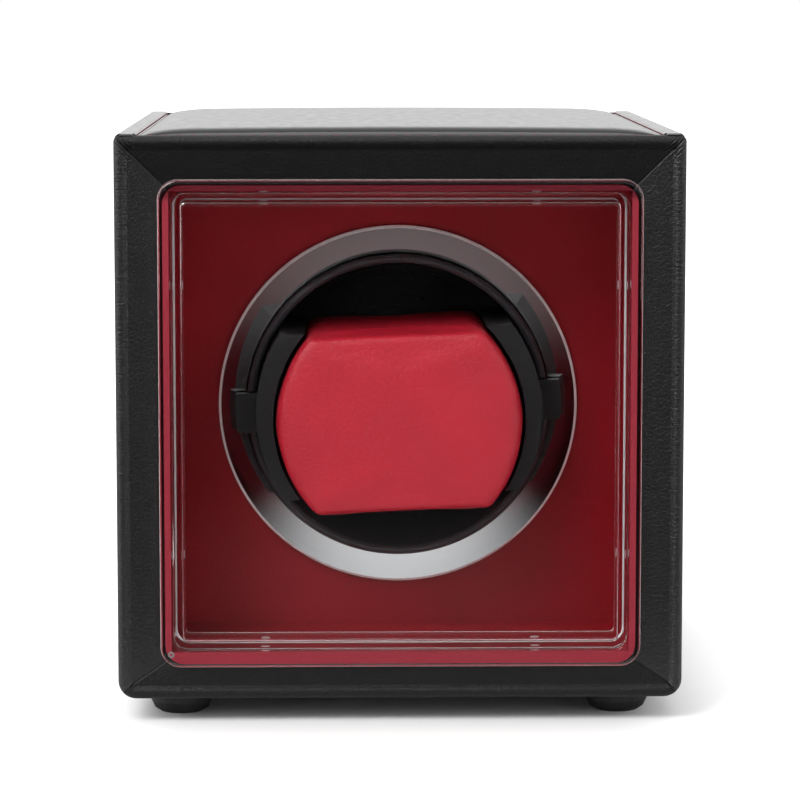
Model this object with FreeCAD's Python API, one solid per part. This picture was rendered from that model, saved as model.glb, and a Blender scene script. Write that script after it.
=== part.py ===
import FreeCAD, Part
import math
import os

# Watch winder box, as the pieces it is assembled from. Millimetres, +Z up, front towards -Y, origin in the
# middle of the footprint on the plane of the feet. Depth is written as t: 0 at the rim of the case's front
# frame, growing towards the back. Heights that end in _Z are above the feet.

V = FreeCAD.Vector
ALONG_X = V(1, 0, 0)
ALONG_Y = V(0, 1, 0)
ALONG_Z = V(0, 0, 1)

# Case
CASE_W = 140.0
CASE_H = 139.5
CASE_L = 150.0
FOOT_H = 6.0
AXIS_Z = 75.1
WRAP_T = 1.2
CORNER_BOTTOM_R = 4.5
CORNER_TOP_R = 1.5
PAD_BASE_Z = 142.5
STRIP_TOP_Z = 146.0
STRIP_W = 6.0
STRIP_EDGE_R = 1.7
TONGUE_T = 1.2
TONGUE_INSET = 1.2
TONGUE_BEVEL = 0.35
PAD_EDGE_Z = 144.9
PAD_CROWN_Z = 147.5
PAD_END_RISE = 0.3
PAD_SWELL = ((0.0, 0.0), (0.12, 0.55), (0.5, 1.0), (0.88, 0.55), (1.0, 0.0))
REAR_TRIM_T = 4.0
REAR_BEVEL = 1.2

# Front frame of four mitred rails: rolled lip, groove, face sloping in towards the opening
RAIL_DEPTH = 5.0
LIP_R = 1.6
LIP_SWEEP = math.radians(60)
GROOVE_U = 3.1
GROOVE_T = 1.0
FACE_U = 3.5
FACE_T = 0.7
FACE_END_T = 1.9
RAIL_EDGE_R = 0.7
RAIL_LAP_SIDE = 1.3
RAIL_LAP_TOP = 1.5
RAIL_CORNER_R = 4.5

# Clear cover
COVER_W = 118.5
COVER_H = 120.5
COVER_DROP = 0.25
COVER_T = 3.0
COVER_CORNER_R = 5.0
COVER_BEVEL = 0.7
SKIRT_GAP = 0.75
SKIRT_WALL = 1.8
SKIRT_DEPTH = 14.0
SKIRT_CORNER_R = 3.4
BUMP_R = 1.1
BUMP_TIP_R = 0.6
BUMP_PROUD = 0.6
BUMP_OFFSET = 33.5
BUMP_T = 6.0

# Lining, panel and trim ring
OPEN_W = 118.8
OPEN_H = 119.8
LINER_T = 2.8
LINER_END_T = 60.0
PANEL_T = 37.8
PANEL_THICK = 4.0
RING_OUT_R = 46.0
RING_IN_R = 39.2
RING_COLLAR_R = 41.0
RING_RISE = 1.9
RING_CONE = 1.1
RING_BEVEL = 0.6
RING_COLLAR_PROUD = 1.2

# Turning cup
CUP_LIP_T = 33.6
CUP_OUT_R = 38.7
CUP_WALL = 2.1
CUP_LIP_BEVEL = 0.7
CUP_FLOOR_T = 84.5
CUP_BACK_T = 88.5
CUP_HUB_R = 10.0
CUP_HUB_T = 90.6
NOTCH_HALF = 5.4
NOTCH_END_T = 35.8
CUP_SCREW_HEAD = 2.4
CUP_SCREW_GRIP = 9.0
PARK_TURN = 2.5

# Pillow and its end caps
PILLOW_W = 63.3
PILLOW_H = 46.0
PILLOW_SIDE_R = 33.5
PILLOW_SAG = 2.0
PILLOW_T = 12.5
PILLOW_L = 51.5
PILLOW_ROUNDING = ((0.0, 0.96), (1.5, 1.0))
CORE_HALF = 8.0
CORE_T = (30.0, 46.0)
CAP_R = 36.0
CAP_HALF = 21.0
CAP_T = (19.0, 62.0)
CAP_FIT = 0.15
EAR_R = 41.6
EAR_HALF = 5.0
EAR_T = (31.6, 35.5)

# Drive: shaft that runs in two plates, gear pair between them, gear motor behind
SHAFT_R = 4.0
SHAFT_T = (86.5, 112.0)
RUNNING_FIT = 0.05
FRONT_PLATE_T = (92.0, 95.0)
REAR_PLATE_T = (107.0, 110.0)
PLATE_HALF = 51.0
PLATE_CORNER_R = 6.0
POST_OFFSET = 44.0
POST_FLATS = 8.0
SCREW_FLATS = 2.8
SCREW_HEAD_FLATS = 5.6
SCREW_HEAD = 1.6
STACK_SCREW_GRIP = 14.0
MODULE = 1.5
GEAR_TEETH = 36
PINION_TEETH = 14
PRESSURE_ANGLE = math.radians(20)
ADDENDUM = 0.95
DEDENDUM = 1.25
TOOTH_THINNING = 0.13
GEAR_T = (95.5, 101.5)
GEAR_HUB_R = 9.0
GEAR_HUB_END_T = 106.5
PINION_T = (95.5, 102.0)
CENTRE_DISTANCE = MODULE * (GEAR_TEETH + PINION_TEETH) / 2
MOTOR_Z = AXIS_Z + CENTRE_DISTANCE
OUTPUT_R = 2.0
OUTPUT_END_T = 118.0
OUTPUT_END_GAP = 0.5
GEARBOX_R = 12.5
GEARBOX_END_T = 121.0
GEARBOX_BOSS_R = 5.0
MOTOR_R = 11.5
MOTOR_FLAT = 9.2
MOTOR_END_T = 137.0
END_CAP_R = 10.0
END_CAP_T = 138.6
MOTOR_SCREW_X = 8.5
MOTOR_SCREW_GRIP = 5.0

# Back panel and its controls
BACK_T = (141.0, 144.0)
BLOCK = 10.0
BACK_SCREW_HEAD_R = 2.8
BACK_SCREW_GRIP = 8.0
BOARD_T = (128.4, 130.0)
BOARD_HALF_W = 30.0
BOARD_Z = (24.0, 50.0)
CONTROL_Z = 36.0
INLET_X = -20.0
INLET_BLOCK = 4.8
INLET_BARREL_R = 4.0
INLET_FLANGE_R = 5.5
INLET_FACE_T = 145.4
INLET_BORE_R = 2.9
INLET_BORE_T = 135.0
INLET_PIN_R = 1.05
INLET_PIN_SINK = 1.0
ROCKER_HALF = (4.4, 6.9)
ROCKER_WELL = (4.7, 7.9)
ROCKER_BODY = (6.0, 9.2)
ROCKER_FLANGE = (7.4, 10.8)
ROCKER_FLANGE_T = 145.5
ROCKER_PIVOT_T = 143.5
ROCKER_TILT = 8.0
ROCKER_WING = 3.4
ROCKER_DIP = 2.5
ROCKER_TUCK = 1.8
ROCKER_BELLY = 4.0
TRUNNION_R = 1.0
TRUNNION_HALF = 5.5
TRUNNION_END_GAP = 0.1
KNOB_X = 20.0
KNOB_R = 8.0
KNOB_T = (144.4, 149.6)
KNOB_FLUTES = 14
KNOB_FLUTE = 0.6
KNOB_CROWN = 1.2
POINTER_HALF = 0.5
POINTER_DEPTH = 0.5
POINTER_START = 1.5
SELECTOR_HALF = 7.0
SELECTOR_END_T = 139.5
SELECTOR_SHAFT_R = 3.0
SELECTOR_SHAFT_T = 133.0
SELECTOR_SLEEVE = 1.5
LEAD_HALF = 2.5
LEAD_THICK = 1.2
LEAD_BEND_R = 4.0
LEAD_INSET = 2.0

# Feet
FOOT_PROFILE = ((5.6, 0.0), (6.9, 0.9), (7.8, 2.8), (8.2, FOOT_H))
FOOT_SIDES = 24
FOOT_X = 55.0
FOOT_INSET = 16.5

# Derived planes
FRONT_T = -COVER_T
MIDDLE_T = (FRONT_T + CASE_L) / 2
CASE_TOP_Z = FOOT_H + CASE_H
OPEN_X = OPEN_W / 2
OPEN_Z = OPEN_H / 2
RAIL_OPEN_X = OPEN_X - RAIL_LAP_SIDE
RAIL_OPEN_BOTTOM = AXIS_Z - OPEN_Z
RAIL_OPEN_TOP = AXIS_Z + OPEN_Z - RAIL_LAP_TOP
CAVITY_X = OPEN_X - LINER_T
CAVITY_Z = OPEN_Z - LINER_T
BOARD_OUT_X = CASE_W / 2 - WRAP_T
BOARD_END_T = CASE_L - REAR_TRIM_T
STRIP_IN_X = CASE_W / 2 - STRIP_W
SIDES = {"left": -1, "right": 1}
CUT_PAST = 3.0
pieces = {}


def depth(t):
    return t - MIDDLE_T


def front_point(x, z, t=0.0):
    return V(x, depth(t), z)


def box(x, t, z):
    size = [max(pair) - min(pair) for pair in (x, t, z)]
    return Part.makeBox(*size, front_point(min(x), min(z), min(t)))


def rod(radius, t, x=0.0, z=AXIS_Z):
    return Part.makeCylinder(radius, t[1] - t[0], front_point(x, z, t[0]), ALONG_Y)


def outline(place, start, *steps):
    """Closed face. A step is a point, reached by a line, or the middle and end points of an arc."""
    edges = []
    here = place(*start)
    for step in steps + (start,):
        if isinstance(step[0], tuple):
            middle, end = [place(*point) for point in step]
            edges.append(Part.Arc(here, middle, end).toShape())
        else:
            end = place(*step)
            if end.distanceToPoint(here) > 1e-6:
                edges.append(Part.LineSegment(here, end).toShape())
        here = end
    return Part.Face(Part.Wire(edges))


def turned(start, *steps, x=0.0, z=AXIS_Z):
    """Solid turned about a front-to-back axis, from a profile of radius and depth."""
    face = outline(lambda r, t: front_point(x + r, z, t), start, *steps)
    return face.revolve(V(x, 0, z), ALONG_Y, 360)


def hexagon(flats, t, x=0.0, z=AXIS_Z):
    """Six-sided bar along the depth, by its width across flats. Screw shanks are drawn this way too."""
    reach = flats / math.sqrt(3)
    angles = [math.pi / 6 + step * math.pi / 3 for step in range(6)]
    points = [(x + reach * math.cos(a), z + reach * math.sin(a)) for a in angles]
    return outline(lambda px, pz: front_point(px, pz, t[0]), *points).extrude(ALONG_Y * (t[1] - t[0]))


def stud(centre, out, radius, tip_radius, height):
    """Small eight-sided boss on a wall, tapering outwards from its centre on the wall."""
    across = out.cross(ALONG_Y)
    rings = []
    for size, lift in ((radius, 0.0), (tip_radius, height)):
        ring = [
            centre + out * lift + across * (size * math.cos(a)) + ALONG_Y * (size * math.sin(a))
            for a in [step * math.pi / 4 for step in range(9)]
        ]
        rings.append(Part.makePolygon(ring))
    return Part.makeLoft(rings, True, True)


def soften(shape, radius, picks):
    return shape.makeFillet(radius, [edge for edge in shape.Edges if picks(edge)])


def bevel(shape, size, picks):
    return shape.makeChamfer(size, [edge for edge in shape.Edges if picks(edge)])


def runs_back(edge):
    tangent = edge.tangentAt(edge.FirstParameter)
    return abs(tangent.y) > 0.999 and edge.Length > 1


def lies_at(edge, t):
    return abs(edge.BoundBox.YMin - depth(t)) < 1e-4 and abs(edge.BoundBox.YMax - depth(t)) < 1e-4


def rounded_block(half_x, half_z, radius, t, z=AXIS_Z):
    block = box((-half_x, half_x), t, (z - half_z, z + half_z))
    return soften(block, radius, runs_back)


def case_block(inset, t, top=CASE_TOP_Z):
    """Outline of the case, drawn in by inset, with its larger bottom and smaller top corners."""
    x = CASE_W / 2 - inset
    z0 = FOOT_H + inset
    z1 = top - inset
    block = box((-x, x), t, (z0, z1))
    block = soften(block, CORNER_BOTTOM_R - inset, lambda e: runs_back(e) and e.CenterOfMass.z < AXIS_Z)
    return soften(block, CORNER_TOP_R - inset, lambda e: runs_back(e) and e.CenterOfMass.z > z1 - 1)


def corners(offset_x, offset_z, z=AXIS_Z):
    return [(x * offset_x, z + s * offset_z) for x in (-1, 1) for s in (-1, 1)]


def group(shapes):
    return Part.makeCompound(list(shapes))


def carcass():
    t = (RAIL_DEPTH, BOARD_END_T)
    lining_z = (AXIS_Z - OPEN_Z, AXIS_Z + OPEN_Z)
    for side, sign in SIDES.items():
        x = (sign * OPEN_X, sign * BOARD_OUT_X)
        board = box(x, t, (FOOT_H + WRAP_T, PAD_BASE_Z))
        board = soften(
            board,
            CORNER_BOTTOM_R - WRAP_T,
            lambda e: runs_back(e) and e.CenterOfMass.z < AXIS_Z and abs(e.CenterOfMass.x) > OPEN_X + 1,
        )
        pieces["side_board_" + side] = board
    pieces["bottom_board"] = box((-OPEN_X, OPEN_X), t, (FOOT_H + WRAP_T, lining_z[0]))
    pieces["top_board"] = box((-OPEN_X, OPEN_X), t, (lining_z[1], PAD_BASE_Z))


def covering():
    t = (RAIL_DEPTH, BOARD_END_T)
    outside = case_block(0, t)
    inside = case_block(WRAP_T, t, top=CASE_TOP_Z + CORNER_TOP_R)
    above = box((-CASE_W, CASE_W), t, (PAD_BASE_Z, CASE_TOP_Z + CUT_PAST))
    pieces["outer_wrap"] = outside.cut(inside).cut(above)
    for side, sign in SIDES.items():
        strip = box((sign * STRIP_IN_X, sign * CASE_W / 2), t, (PAD_BASE_Z, STRIP_TOP_Z))
        strip = soften(strip, STRIP_EDGE_R, lambda e: runs_back(e) and e.CenterOfMass.z > STRIP_TOP_Z - 1)
        pieces["top_strip_" + side] = strip.fuse(tongue(sign)).removeSplitter()
    pieces["top_pad"] = top_pad()
    trim = case_block(0, (BOARD_END_T, CASE_L))
    trim = bevel(trim, REAR_BEVEL, lambda e: lies_at(e, CASE_L))
    through = (BOARD_END_T - CUT_PAST, CASE_L + CUT_PAST)
    opening = box((-OPEN_X, OPEN_X), through, (AXIS_Z - OPEN_Z, AXIS_Z + OPEN_Z))
    pieces["rear_trim"] = trim.cut(opening)


def tongue(sign):
    """Front end of a top strip, folded forward over the lip of the front frame."""
    x = (sign * (STRIP_IN_X + TONGUE_INSET), sign * (CASE_W / 2 - TONGUE_INSET))
    end = box(x, (TONGUE_T, RAIL_DEPTH), (CASE_TOP_Z, STRIP_TOP_Z))
    upper = STRIP_TOP_Z - TONGUE_BEVEL
    return bevel(end, TONGUE_BEVEL, lambda e: e.CenterOfMass.z > upper and not lies_at(e, RAIL_DEPTH))


def top_pad():
    """Padded top: crowned both ways, its edges drawn down to the strips, the front lip and the rear trim."""
    length = BOARD_END_T - RAIL_DEPTH
    half = STRIP_IN_X
    low = PAD_EDGE_Z + PAD_END_RISE
    sections = []
    for share, lift in PAD_SWELL:
        t = RAIL_DEPTH + share * length
        crown = low + lift * (PAD_CROWN_Z - low)
        face = outline(
            lambda x, z: front_point(x, z, t),
            (-half, PAD_BASE_Z),
            (half, PAD_BASE_Z),
            (half, PAD_EDGE_Z),
            ((0, crown), (-half, PAD_EDGE_Z)),
        )
        sections.append(face.OuterWire)
    return Part.makeLoft(sections, True, False)


def rail_face(margin, place):
    """Section of a front rail, u inwards from the case's outer face."""
    lip_end = (LIP_R + LIP_R * math.sin(LIP_SWEEP), LIP_R - LIP_R * math.cos(LIP_SWEEP))
    slant = math.sqrt(0.5)
    return outline(
        place,
        (0, RAIL_DEPTH),
        (0, LIP_R),
        ((LIP_R * (1 - slant), LIP_R * (1 - slant)), lip_end),
        (GROOVE_U, GROOVE_T),
        (FACE_U, FACE_T),
        (margin - RAIL_EDGE_R, FACE_END_T),
        (
            (margin - RAIL_EDGE_R * (1 - slant), FACE_END_T + RAIL_EDGE_R * (1 - slant)),
            (margin, FACE_END_T + RAIL_EDGE_R),
        ),
        (margin, RAIL_DEPTH),
    )


def frame_opening(t):
    """Opening of the front frame, with rounded corners."""
    half_z = (RAIL_OPEN_TOP - RAIL_OPEN_BOTTOM) / 2
    return rounded_block(RAIL_OPEN_X, half_z, RAIL_CORNER_R, t, RAIL_OPEN_BOTTOM + half_z)


def corner_webs(sign):
    """Fillings of the two inner corners beside an upright rail, which round the opening off."""
    t = (FACE_END_T + RAIL_EDGE_R, RAIL_DEPTH)
    x = (sign * (RAIL_OPEN_X - RAIL_CORNER_R), sign * RAIL_OPEN_X)
    return box(x, t, (RAIL_OPEN_BOTTOM, RAIL_OPEN_TOP)).cut(frame_opening(t))


def front_frame():
    x = CASE_W / 2
    bottom, top = FOOT_H, CASE_TOP_Z
    open_bottom, open_top = RAIL_OPEN_BOTTOM, RAIL_OPEN_TOP
    outer = {(sx, sz): (sx * x, top if sz > 0 else bottom) for sx in (-1, 1) for sz in (-1, 1)}
    kink = {key: (px - key[0] * FACE_U, pz - key[1] * FACE_U) for key, (px, pz) in outer.items()}
    inner = {key: (key[0] * RAIL_OPEN_X, open_top if key[1] > 0 else open_bottom) for key in outer}
    side, low, high = x - RAIL_OPEN_X, open_bottom - bottom, top - open_top
    span_z = ALONG_Z * CASE_H
    span_x = ALONG_X * CASE_W
    rails = {
        "left": ((-1, -1), (-1, 1), side, lambda u, t: front_point(-x + u, bottom, t), span_z),
        "right": ((1, -1), (1, 1), side, lambda u, t: front_point(x - u, bottom, t), span_z),
        "bottom": ((-1, -1), (1, -1), low, lambda u, t: front_point(-x, bottom + u, t), span_x),
        "top": ((-1, 1), (1, 1), high, lambda u, t: front_point(-x, top - u, t), span_x),
    }
    outside = case_block(0, (0, RAIL_DEPTH))
    for name, (a, b, margin, place, span) in rails.items():
        bar = rail_face(margin, place).extrude(span)
        mitre = outline(front_point, outer[a], outer[b], kink[b], inner[b], inner[a], kink[a])
        mitre = mitre.extrude(ALONG_Y * RAIL_DEPTH)
        pieces["frame_rail_" + name] = bar.common(mitre).common(outside)
    for name, sign in SIDES.items():
        rail = pieces["frame_rail_" + name]
        pieces["frame_rail_" + name] = rail.fuse(corner_webs(sign).Solids).removeSplitter()


def lining():
    """Four boards, stepped at their front ends where the rails lap over them, and the panel with its ring."""
    t = (0.0, LINER_END_T)
    lap_t = (0.0, RAIL_DEPTH)
    rails = box((-OPEN_X, OPEN_X), lap_t, (AXIS_Z - OPEN_Z, AXIS_Z + OPEN_Z))
    rails = rails.cut(frame_opening(lap_t))
    for side, sign in SIDES.items():
        board = box((sign * CAVITY_X, sign * OPEN_X), t, (AXIS_Z - OPEN_Z, AXIS_Z + OPEN_Z))
        pieces["liner_" + side] = board.cut(rails)
    for side, sign in (("bottom", -1), ("top", 1)):
        board = box((-CAVITY_X, CAVITY_X), t, (AXIS_Z + sign * CAVITY_Z, AXIS_Z + sign * OPEN_Z))
        pieces["liner_" + side] = board.cut(rails)
    panel = box(
        (-CAVITY_X, CAVITY_X),
        (PANEL_T, PANEL_T + PANEL_THICK),
        (AXIS_Z - CAVITY_Z, AXIS_Z + CAVITY_Z),
    )
    pieces["mount_panel"] = panel.cut(rod(RING_COLLAR_R, (PANEL_T, PANEL_T + PANEL_THICK)))
    face_t = PANEL_T - RING_RISE
    collar_t = PANEL_T + PANEL_THICK + RING_COLLAR_PROUD
    pieces["trim_ring"] = turned(
        (RING_OUT_R, PANEL_T),
        (RING_OUT_R, face_t + RING_BEVEL),
        (RING_OUT_R - RING_BEVEL, face_t),
        (RING_IN_R, face_t + RING_CONE),
        (RING_IN_R, collar_t),
        (RING_COLLAR_R, collar_t),
        (RING_COLLAR_R, PANEL_T),
    )


def front_cover():
    """Clear plate with a skirt that slides into the lining, held by two bumps on each side of the skirt."""
    plate = rounded_block(COVER_W / 2, COVER_H / 2, COVER_CORNER_R, (FRONT_T, 0), AXIS_Z - COVER_DROP)
    plate = bevel(plate, COVER_BEVEL, lambda e: lies_at(e, FRONT_T))
    half_x = CAVITY_X - SKIRT_GAP
    half_z = CAVITY_Z - SKIRT_GAP
    skirt = rounded_block(half_x, half_z, SKIRT_CORNER_R, (0, SKIRT_DEPTH))
    hollow = rounded_block(
        half_x - SKIRT_WALL, half_z - SKIRT_WALL, SKIRT_CORNER_R - SKIRT_WALL, (0, SKIRT_DEPTH)
    )
    bumps = []
    for along in (-BUMP_OFFSET, BUMP_OFFSET):
        for sign in (-1, 1):
            on_side = front_point(sign * half_x, AXIS_Z + along, BUMP_T)
            on_end = front_point(along, AXIS_Z + sign * half_z, BUMP_T)
            bumps.append(stud(on_side, ALONG_X * sign, BUMP_R, BUMP_TIP_R, BUMP_PROUD))
            bumps.append(stud(on_end, ALONG_Z * sign, BUMP_R, BUMP_TIP_R, BUMP_PROUD))
    return plate.fuse([skirt.cut(hollow)] + bumps).removeSplitter()


def parked(shape):
    """The cup stands turned a little from upright, as it was last left."""
    shape.rotate(V(0, 0, AXIS_Z), ALONG_Y, -PARK_TURN)
    return shape


def drive_cup():
    inner = CUP_OUT_R - CUP_WALL
    cup = turned(
        (inner, CUP_LIP_T + CUP_LIP_BEVEL),
        (inner + CUP_LIP_BEVEL, CUP_LIP_T),
        (CUP_OUT_R - CUP_LIP_BEVEL, CUP_LIP_T),
        (CUP_OUT_R, CUP_LIP_T + CUP_LIP_BEVEL),
        (CUP_OUT_R, CUP_BACK_T),
        (CUP_HUB_R, CUP_BACK_T),
        (CUP_HUB_R, CUP_HUB_T),
        (SHAFT_R, CUP_HUB_T),
        (SHAFT_R, SHAFT_T[0]),
        (0, SHAFT_T[0]),
        (0, CUP_FLOOR_T),
        (inner, CUP_FLOOR_T),
    )
    notch = box(
        (-CUP_OUT_R - CUT_PAST, CUP_OUT_R + CUT_PAST),
        (CUP_LIP_T - CUT_PAST, NOTCH_END_T),
        (AXIS_Z - NOTCH_HALF, AXIS_Z + NOTCH_HALF),
    )
    return parked(cup.cut(notch).cut(hexagon(SCREW_FLATS, (CUP_FLOOR_T, SHAFT_T[0]))))


def barrel(scale, t, grow=0.0):
    """Front outline of the pillow, which sags below the axis: level top and bottom, sides bowed out."""
    half_w = scale * PILLOW_W / 2 + grow
    half_h = scale * PILLOW_H / 2 + grow
    radius = scale * PILLOW_SIDE_R + grow
    corner = half_w - radius + math.sqrt(radius**2 - half_h**2)
    return outline(
        lambda x, z: front_point(x, AXIS_Z - PILLOW_SAG + z, t),
        (-corner, half_h),
        (corner, half_h),
        ((half_w, 0), (corner, -half_h)),
        (-corner, -half_h),
        ((-half_w, 0), (-corner, half_h)),
    )


def pillow():
    stations = [(scale, PILLOW_T + t) for t, scale in PILLOW_ROUNDING]
    stations += [(scale, PILLOW_T + PILLOW_L - t) for t, scale in reversed(PILLOW_ROUNDING)]
    cushion = Part.makeLoft([barrel(*station).OuterWire for station in stations], True, True)
    channel = box((-PILLOW_W, PILLOW_W), CORE_T, (AXIS_Z - CORE_HALF, AXIS_Z + CORE_HALF))
    seat = barrel(1.0, PILLOW_T, CAP_FIT).extrude(ALONG_Y * PILLOW_L)
    pieces["pillow_cushion"] = parked(cushion.cut(channel))
    pieces["pillow_core"] = parked(channel.common(seat))
    shell = rod(CAP_R, CAP_T).cut(seat)
    for side, sign in SIDES.items():
        band = box((0, sign * EAR_R), CAP_T, (AXIS_Z - CAP_HALF, AXIS_Z + CAP_HALF))
        ear = box((sign * (CAP_R - CUP_WALL), sign * EAR_R), EAR_T, (AXIS_Z - EAR_HALF, AXIS_Z + EAR_HALF))
        cap = shell.common(band).fuse(ear.common(rod(EAR_R, EAR_T))).removeSplitter()
        pieces["pillow_cap_" + side] = parked(cap)


def tooth_half_angle(teeth, radius):
    pitch_r = MODULE * teeth / 2
    base_r = pitch_r * math.cos(PRESSURE_ANGLE)

    def involute(angle):
        return math.tan(angle) - angle

    at_pitch = (math.pi * MODULE / 2 - TOOTH_THINNING) / (2 * pitch_r)
    roll = math.acos(min(1.0, base_r / radius))
    return at_pitch + involute(PRESSURE_ANGLE) - involute(roll)


def toothed(teeth, t, z, first):
    """Spur gear blank with involute flanks; the first tooth is centred at this angle from +X towards +Z."""
    pitch_r = MODULE * teeth / 2
    base_r = pitch_r * math.cos(PRESSURE_ANGLE)
    root_r = pitch_r - DEDENDUM * MODULE
    tip_r = pitch_r + ADDENDUM * MODULE
    radii = [max(root_r, base_r), pitch_r, tip_r]
    flank = [(r, tooth_half_angle(teeth, r)) for r in radii]
    if root_r < base_r:
        flank.insert(0, (root_r, flank[0][1]))
    points = []
    for tooth in range(teeth):
        middle = first + 2 * math.pi * tooth / teeth
        for r, half in flank:
            points.append((r * math.cos(middle - half), z + r * math.sin(middle - half)))
        for r, half in reversed(flank):
            points.append((r * math.cos(middle + half), z + r * math.sin(middle + half)))
    face = outline(lambda px, pz: front_point(px, pz, t[0]), *points)
    return face.extrude(ALONG_Y * (t[1] - t[0]))


def drive_train():
    up = math.pi / 2
    hub_t = (GEAR_T[0], GEAR_HUB_END_T)
    gear = toothed(GEAR_TEETH, GEAR_T, AXIS_Z, up + math.pi / GEAR_TEETH)
    gear = gear.fuse(rod(GEAR_HUB_R, hub_t))
    pieces["cup_gear"] = gear.cut(rod(SHAFT_R, hub_t)).removeSplitter()
    pinion = toothed(PINION_TEETH, PINION_T, MOTOR_Z, -up)
    pieces["drive_pinion"] = pinion.cut(rod(OUTPUT_R, PINION_T, z=MOTOR_Z))
    screw_end_t = SHAFT_T[0] + CUP_SCREW_GRIP
    pieces["cup_shaft"] = rod(SHAFT_R, SHAFT_T).cut(parked(hexagon(SCREW_FLATS, (SHAFT_T[0], screw_end_t))))
    head = rod(SHAFT_R, (CUP_FLOOR_T - CUP_SCREW_HEAD, CUP_FLOOR_T))
    pieces["cup_screw"] = head.fuse(parked(hexagon(SCREW_FLATS, (CUP_FLOOR_T, screw_end_t))))
    pieces["output_shaft"] = rod(OUTPUT_R, (PINION_T[0], OUTPUT_END_T), z=MOTOR_Z)


def gear_frame():
    """Two plates on posts from the red panel, spacers between them, one long screw through each stack."""
    front, rear = FRONT_PLATE_T, REAR_PLATE_T
    places = corners(POST_OFFSET, POST_OFFSET)
    screw_t = (front[0] - STACK_SCREW_GRIP, rear[1])
    head_t = (rear[1], rear[1] + SCREW_HEAD)
    shanks = group(hexagon(SCREW_FLATS, screw_t, *place) for place in places)
    pieces["plate_posts"] = group(
        hexagon(POST_FLATS, (PANEL_T + PANEL_THICK, front[0]), *place).cut(shanks) for place in places
    )
    pieces["plate_spacers"] = group(
        hexagon(POST_FLATS, (front[1], rear[0]), *place).cut(shanks) for place in places
    )
    pieces["stack_screws"] = group(
        hexagon(SCREW_FLATS, screw_t, *place).fuse(hexagon(SCREW_HEAD_FLATS, head_t, *place))
        for place in places
    )
    plate = rounded_block(PLATE_HALF, PLATE_HALF, PLATE_CORNER_R, front)
    bearing_r = SHAFT_R + RUNNING_FIT
    pieces["front_plate"] = plate.cut(group([shanks, rod(bearing_r, front)]))
    plate = rounded_block(PLATE_HALF, PLATE_HALF, PLATE_CORNER_R, rear)
    motor_holes = [hexagon(SCREW_FLATS, rear, *place) for place in motor_screw_places()]
    boss_hole = rod(GEARBOX_BOSS_R, rear, z=MOTOR_Z)
    pieces["rear_plate"] = plate.cut(group([shanks, rod(bearing_r, rear), boss_hole] + motor_holes))


def motor_screw_places():
    return [(sign * MOTOR_SCREW_X, MOTOR_Z) for sign in SIDES.values()]


def gear_motor():
    plate_t, start = REAR_PLATE_T
    case = rod(GEARBOX_R, (start, GEARBOX_END_T), z=MOTOR_Z)
    case = case.fuse(rod(GEARBOX_BOSS_R, (plate_t, start), z=MOTOR_Z))
    bore = rod(OUTPUT_R + RUNNING_FIT, (plate_t, OUTPUT_END_T + OUTPUT_END_GAP), z=MOTOR_Z)
    places = motor_screw_places()
    shanks = [hexagon(SCREW_FLATS, (plate_t, start + MOTOR_SCREW_GRIP), *place) for place in places]
    heads = [hexagon(SCREW_HEAD_FLATS, (plate_t - SCREW_HEAD, plate_t), *place) for place in places]
    pieces["gearbox_case"] = case.cut(group([bore] + shanks)).removeSplitter()
    pieces["motor_screws"] = group(shank.fuse(head) for shank, head in zip(shanks, heads))
    for name, radius, t in (
        ("motor_can", MOTOR_R, (GEARBOX_END_T, MOTOR_END_T)),
        ("motor_end_cap", END_CAP_R, (MOTOR_END_T, END_CAP_T)),
    ):
        flats = box((-MOTOR_FLAT, MOTOR_FLAT), t, (MOTOR_Z - radius, MOTOR_Z + radius))
        pieces[name] = rod(radius, t, z=MOTOR_Z).common(flats)
    pieces["motor_lead"] = motor_lead()


def motor_lead():
    """Flat twin lead from the motor's end cap down to the control board, with one bend."""
    half = LEAD_THICK / 2
    t = (MOTOR_END_T + END_CAP_T) / 2
    low_z = BOARD_Z[1] - LEAD_INSET
    bend_z = low_z + LEAD_BEND_R
    bend_t = t - LEAD_BEND_R
    slant = math.sqrt(0.5)
    inner = LEAD_BEND_R - half
    outer = LEAD_BEND_R + half
    strip = outline(
        lambda z, depth_t: front_point(-LEAD_HALF, z, depth_t),
        (MOTOR_Z, t - half),
        (bend_z, t - half),
        ((bend_z - inner * slant, bend_t + inner * slant), (low_z + half, bend_t)),
        (low_z + half, BOARD_T[1]),
        (low_z - half, BOARD_T[1]),
        (low_z - half, bend_t),
        ((bend_z - outer * slant, bend_t + outer * slant), (bend_z, t + half)),
        (MOTOR_Z, t + half),
    )
    return strip.extrude(ALONG_X * 2 * LEAD_HALF).cut(pieces["motor_end_cap"])


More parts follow.
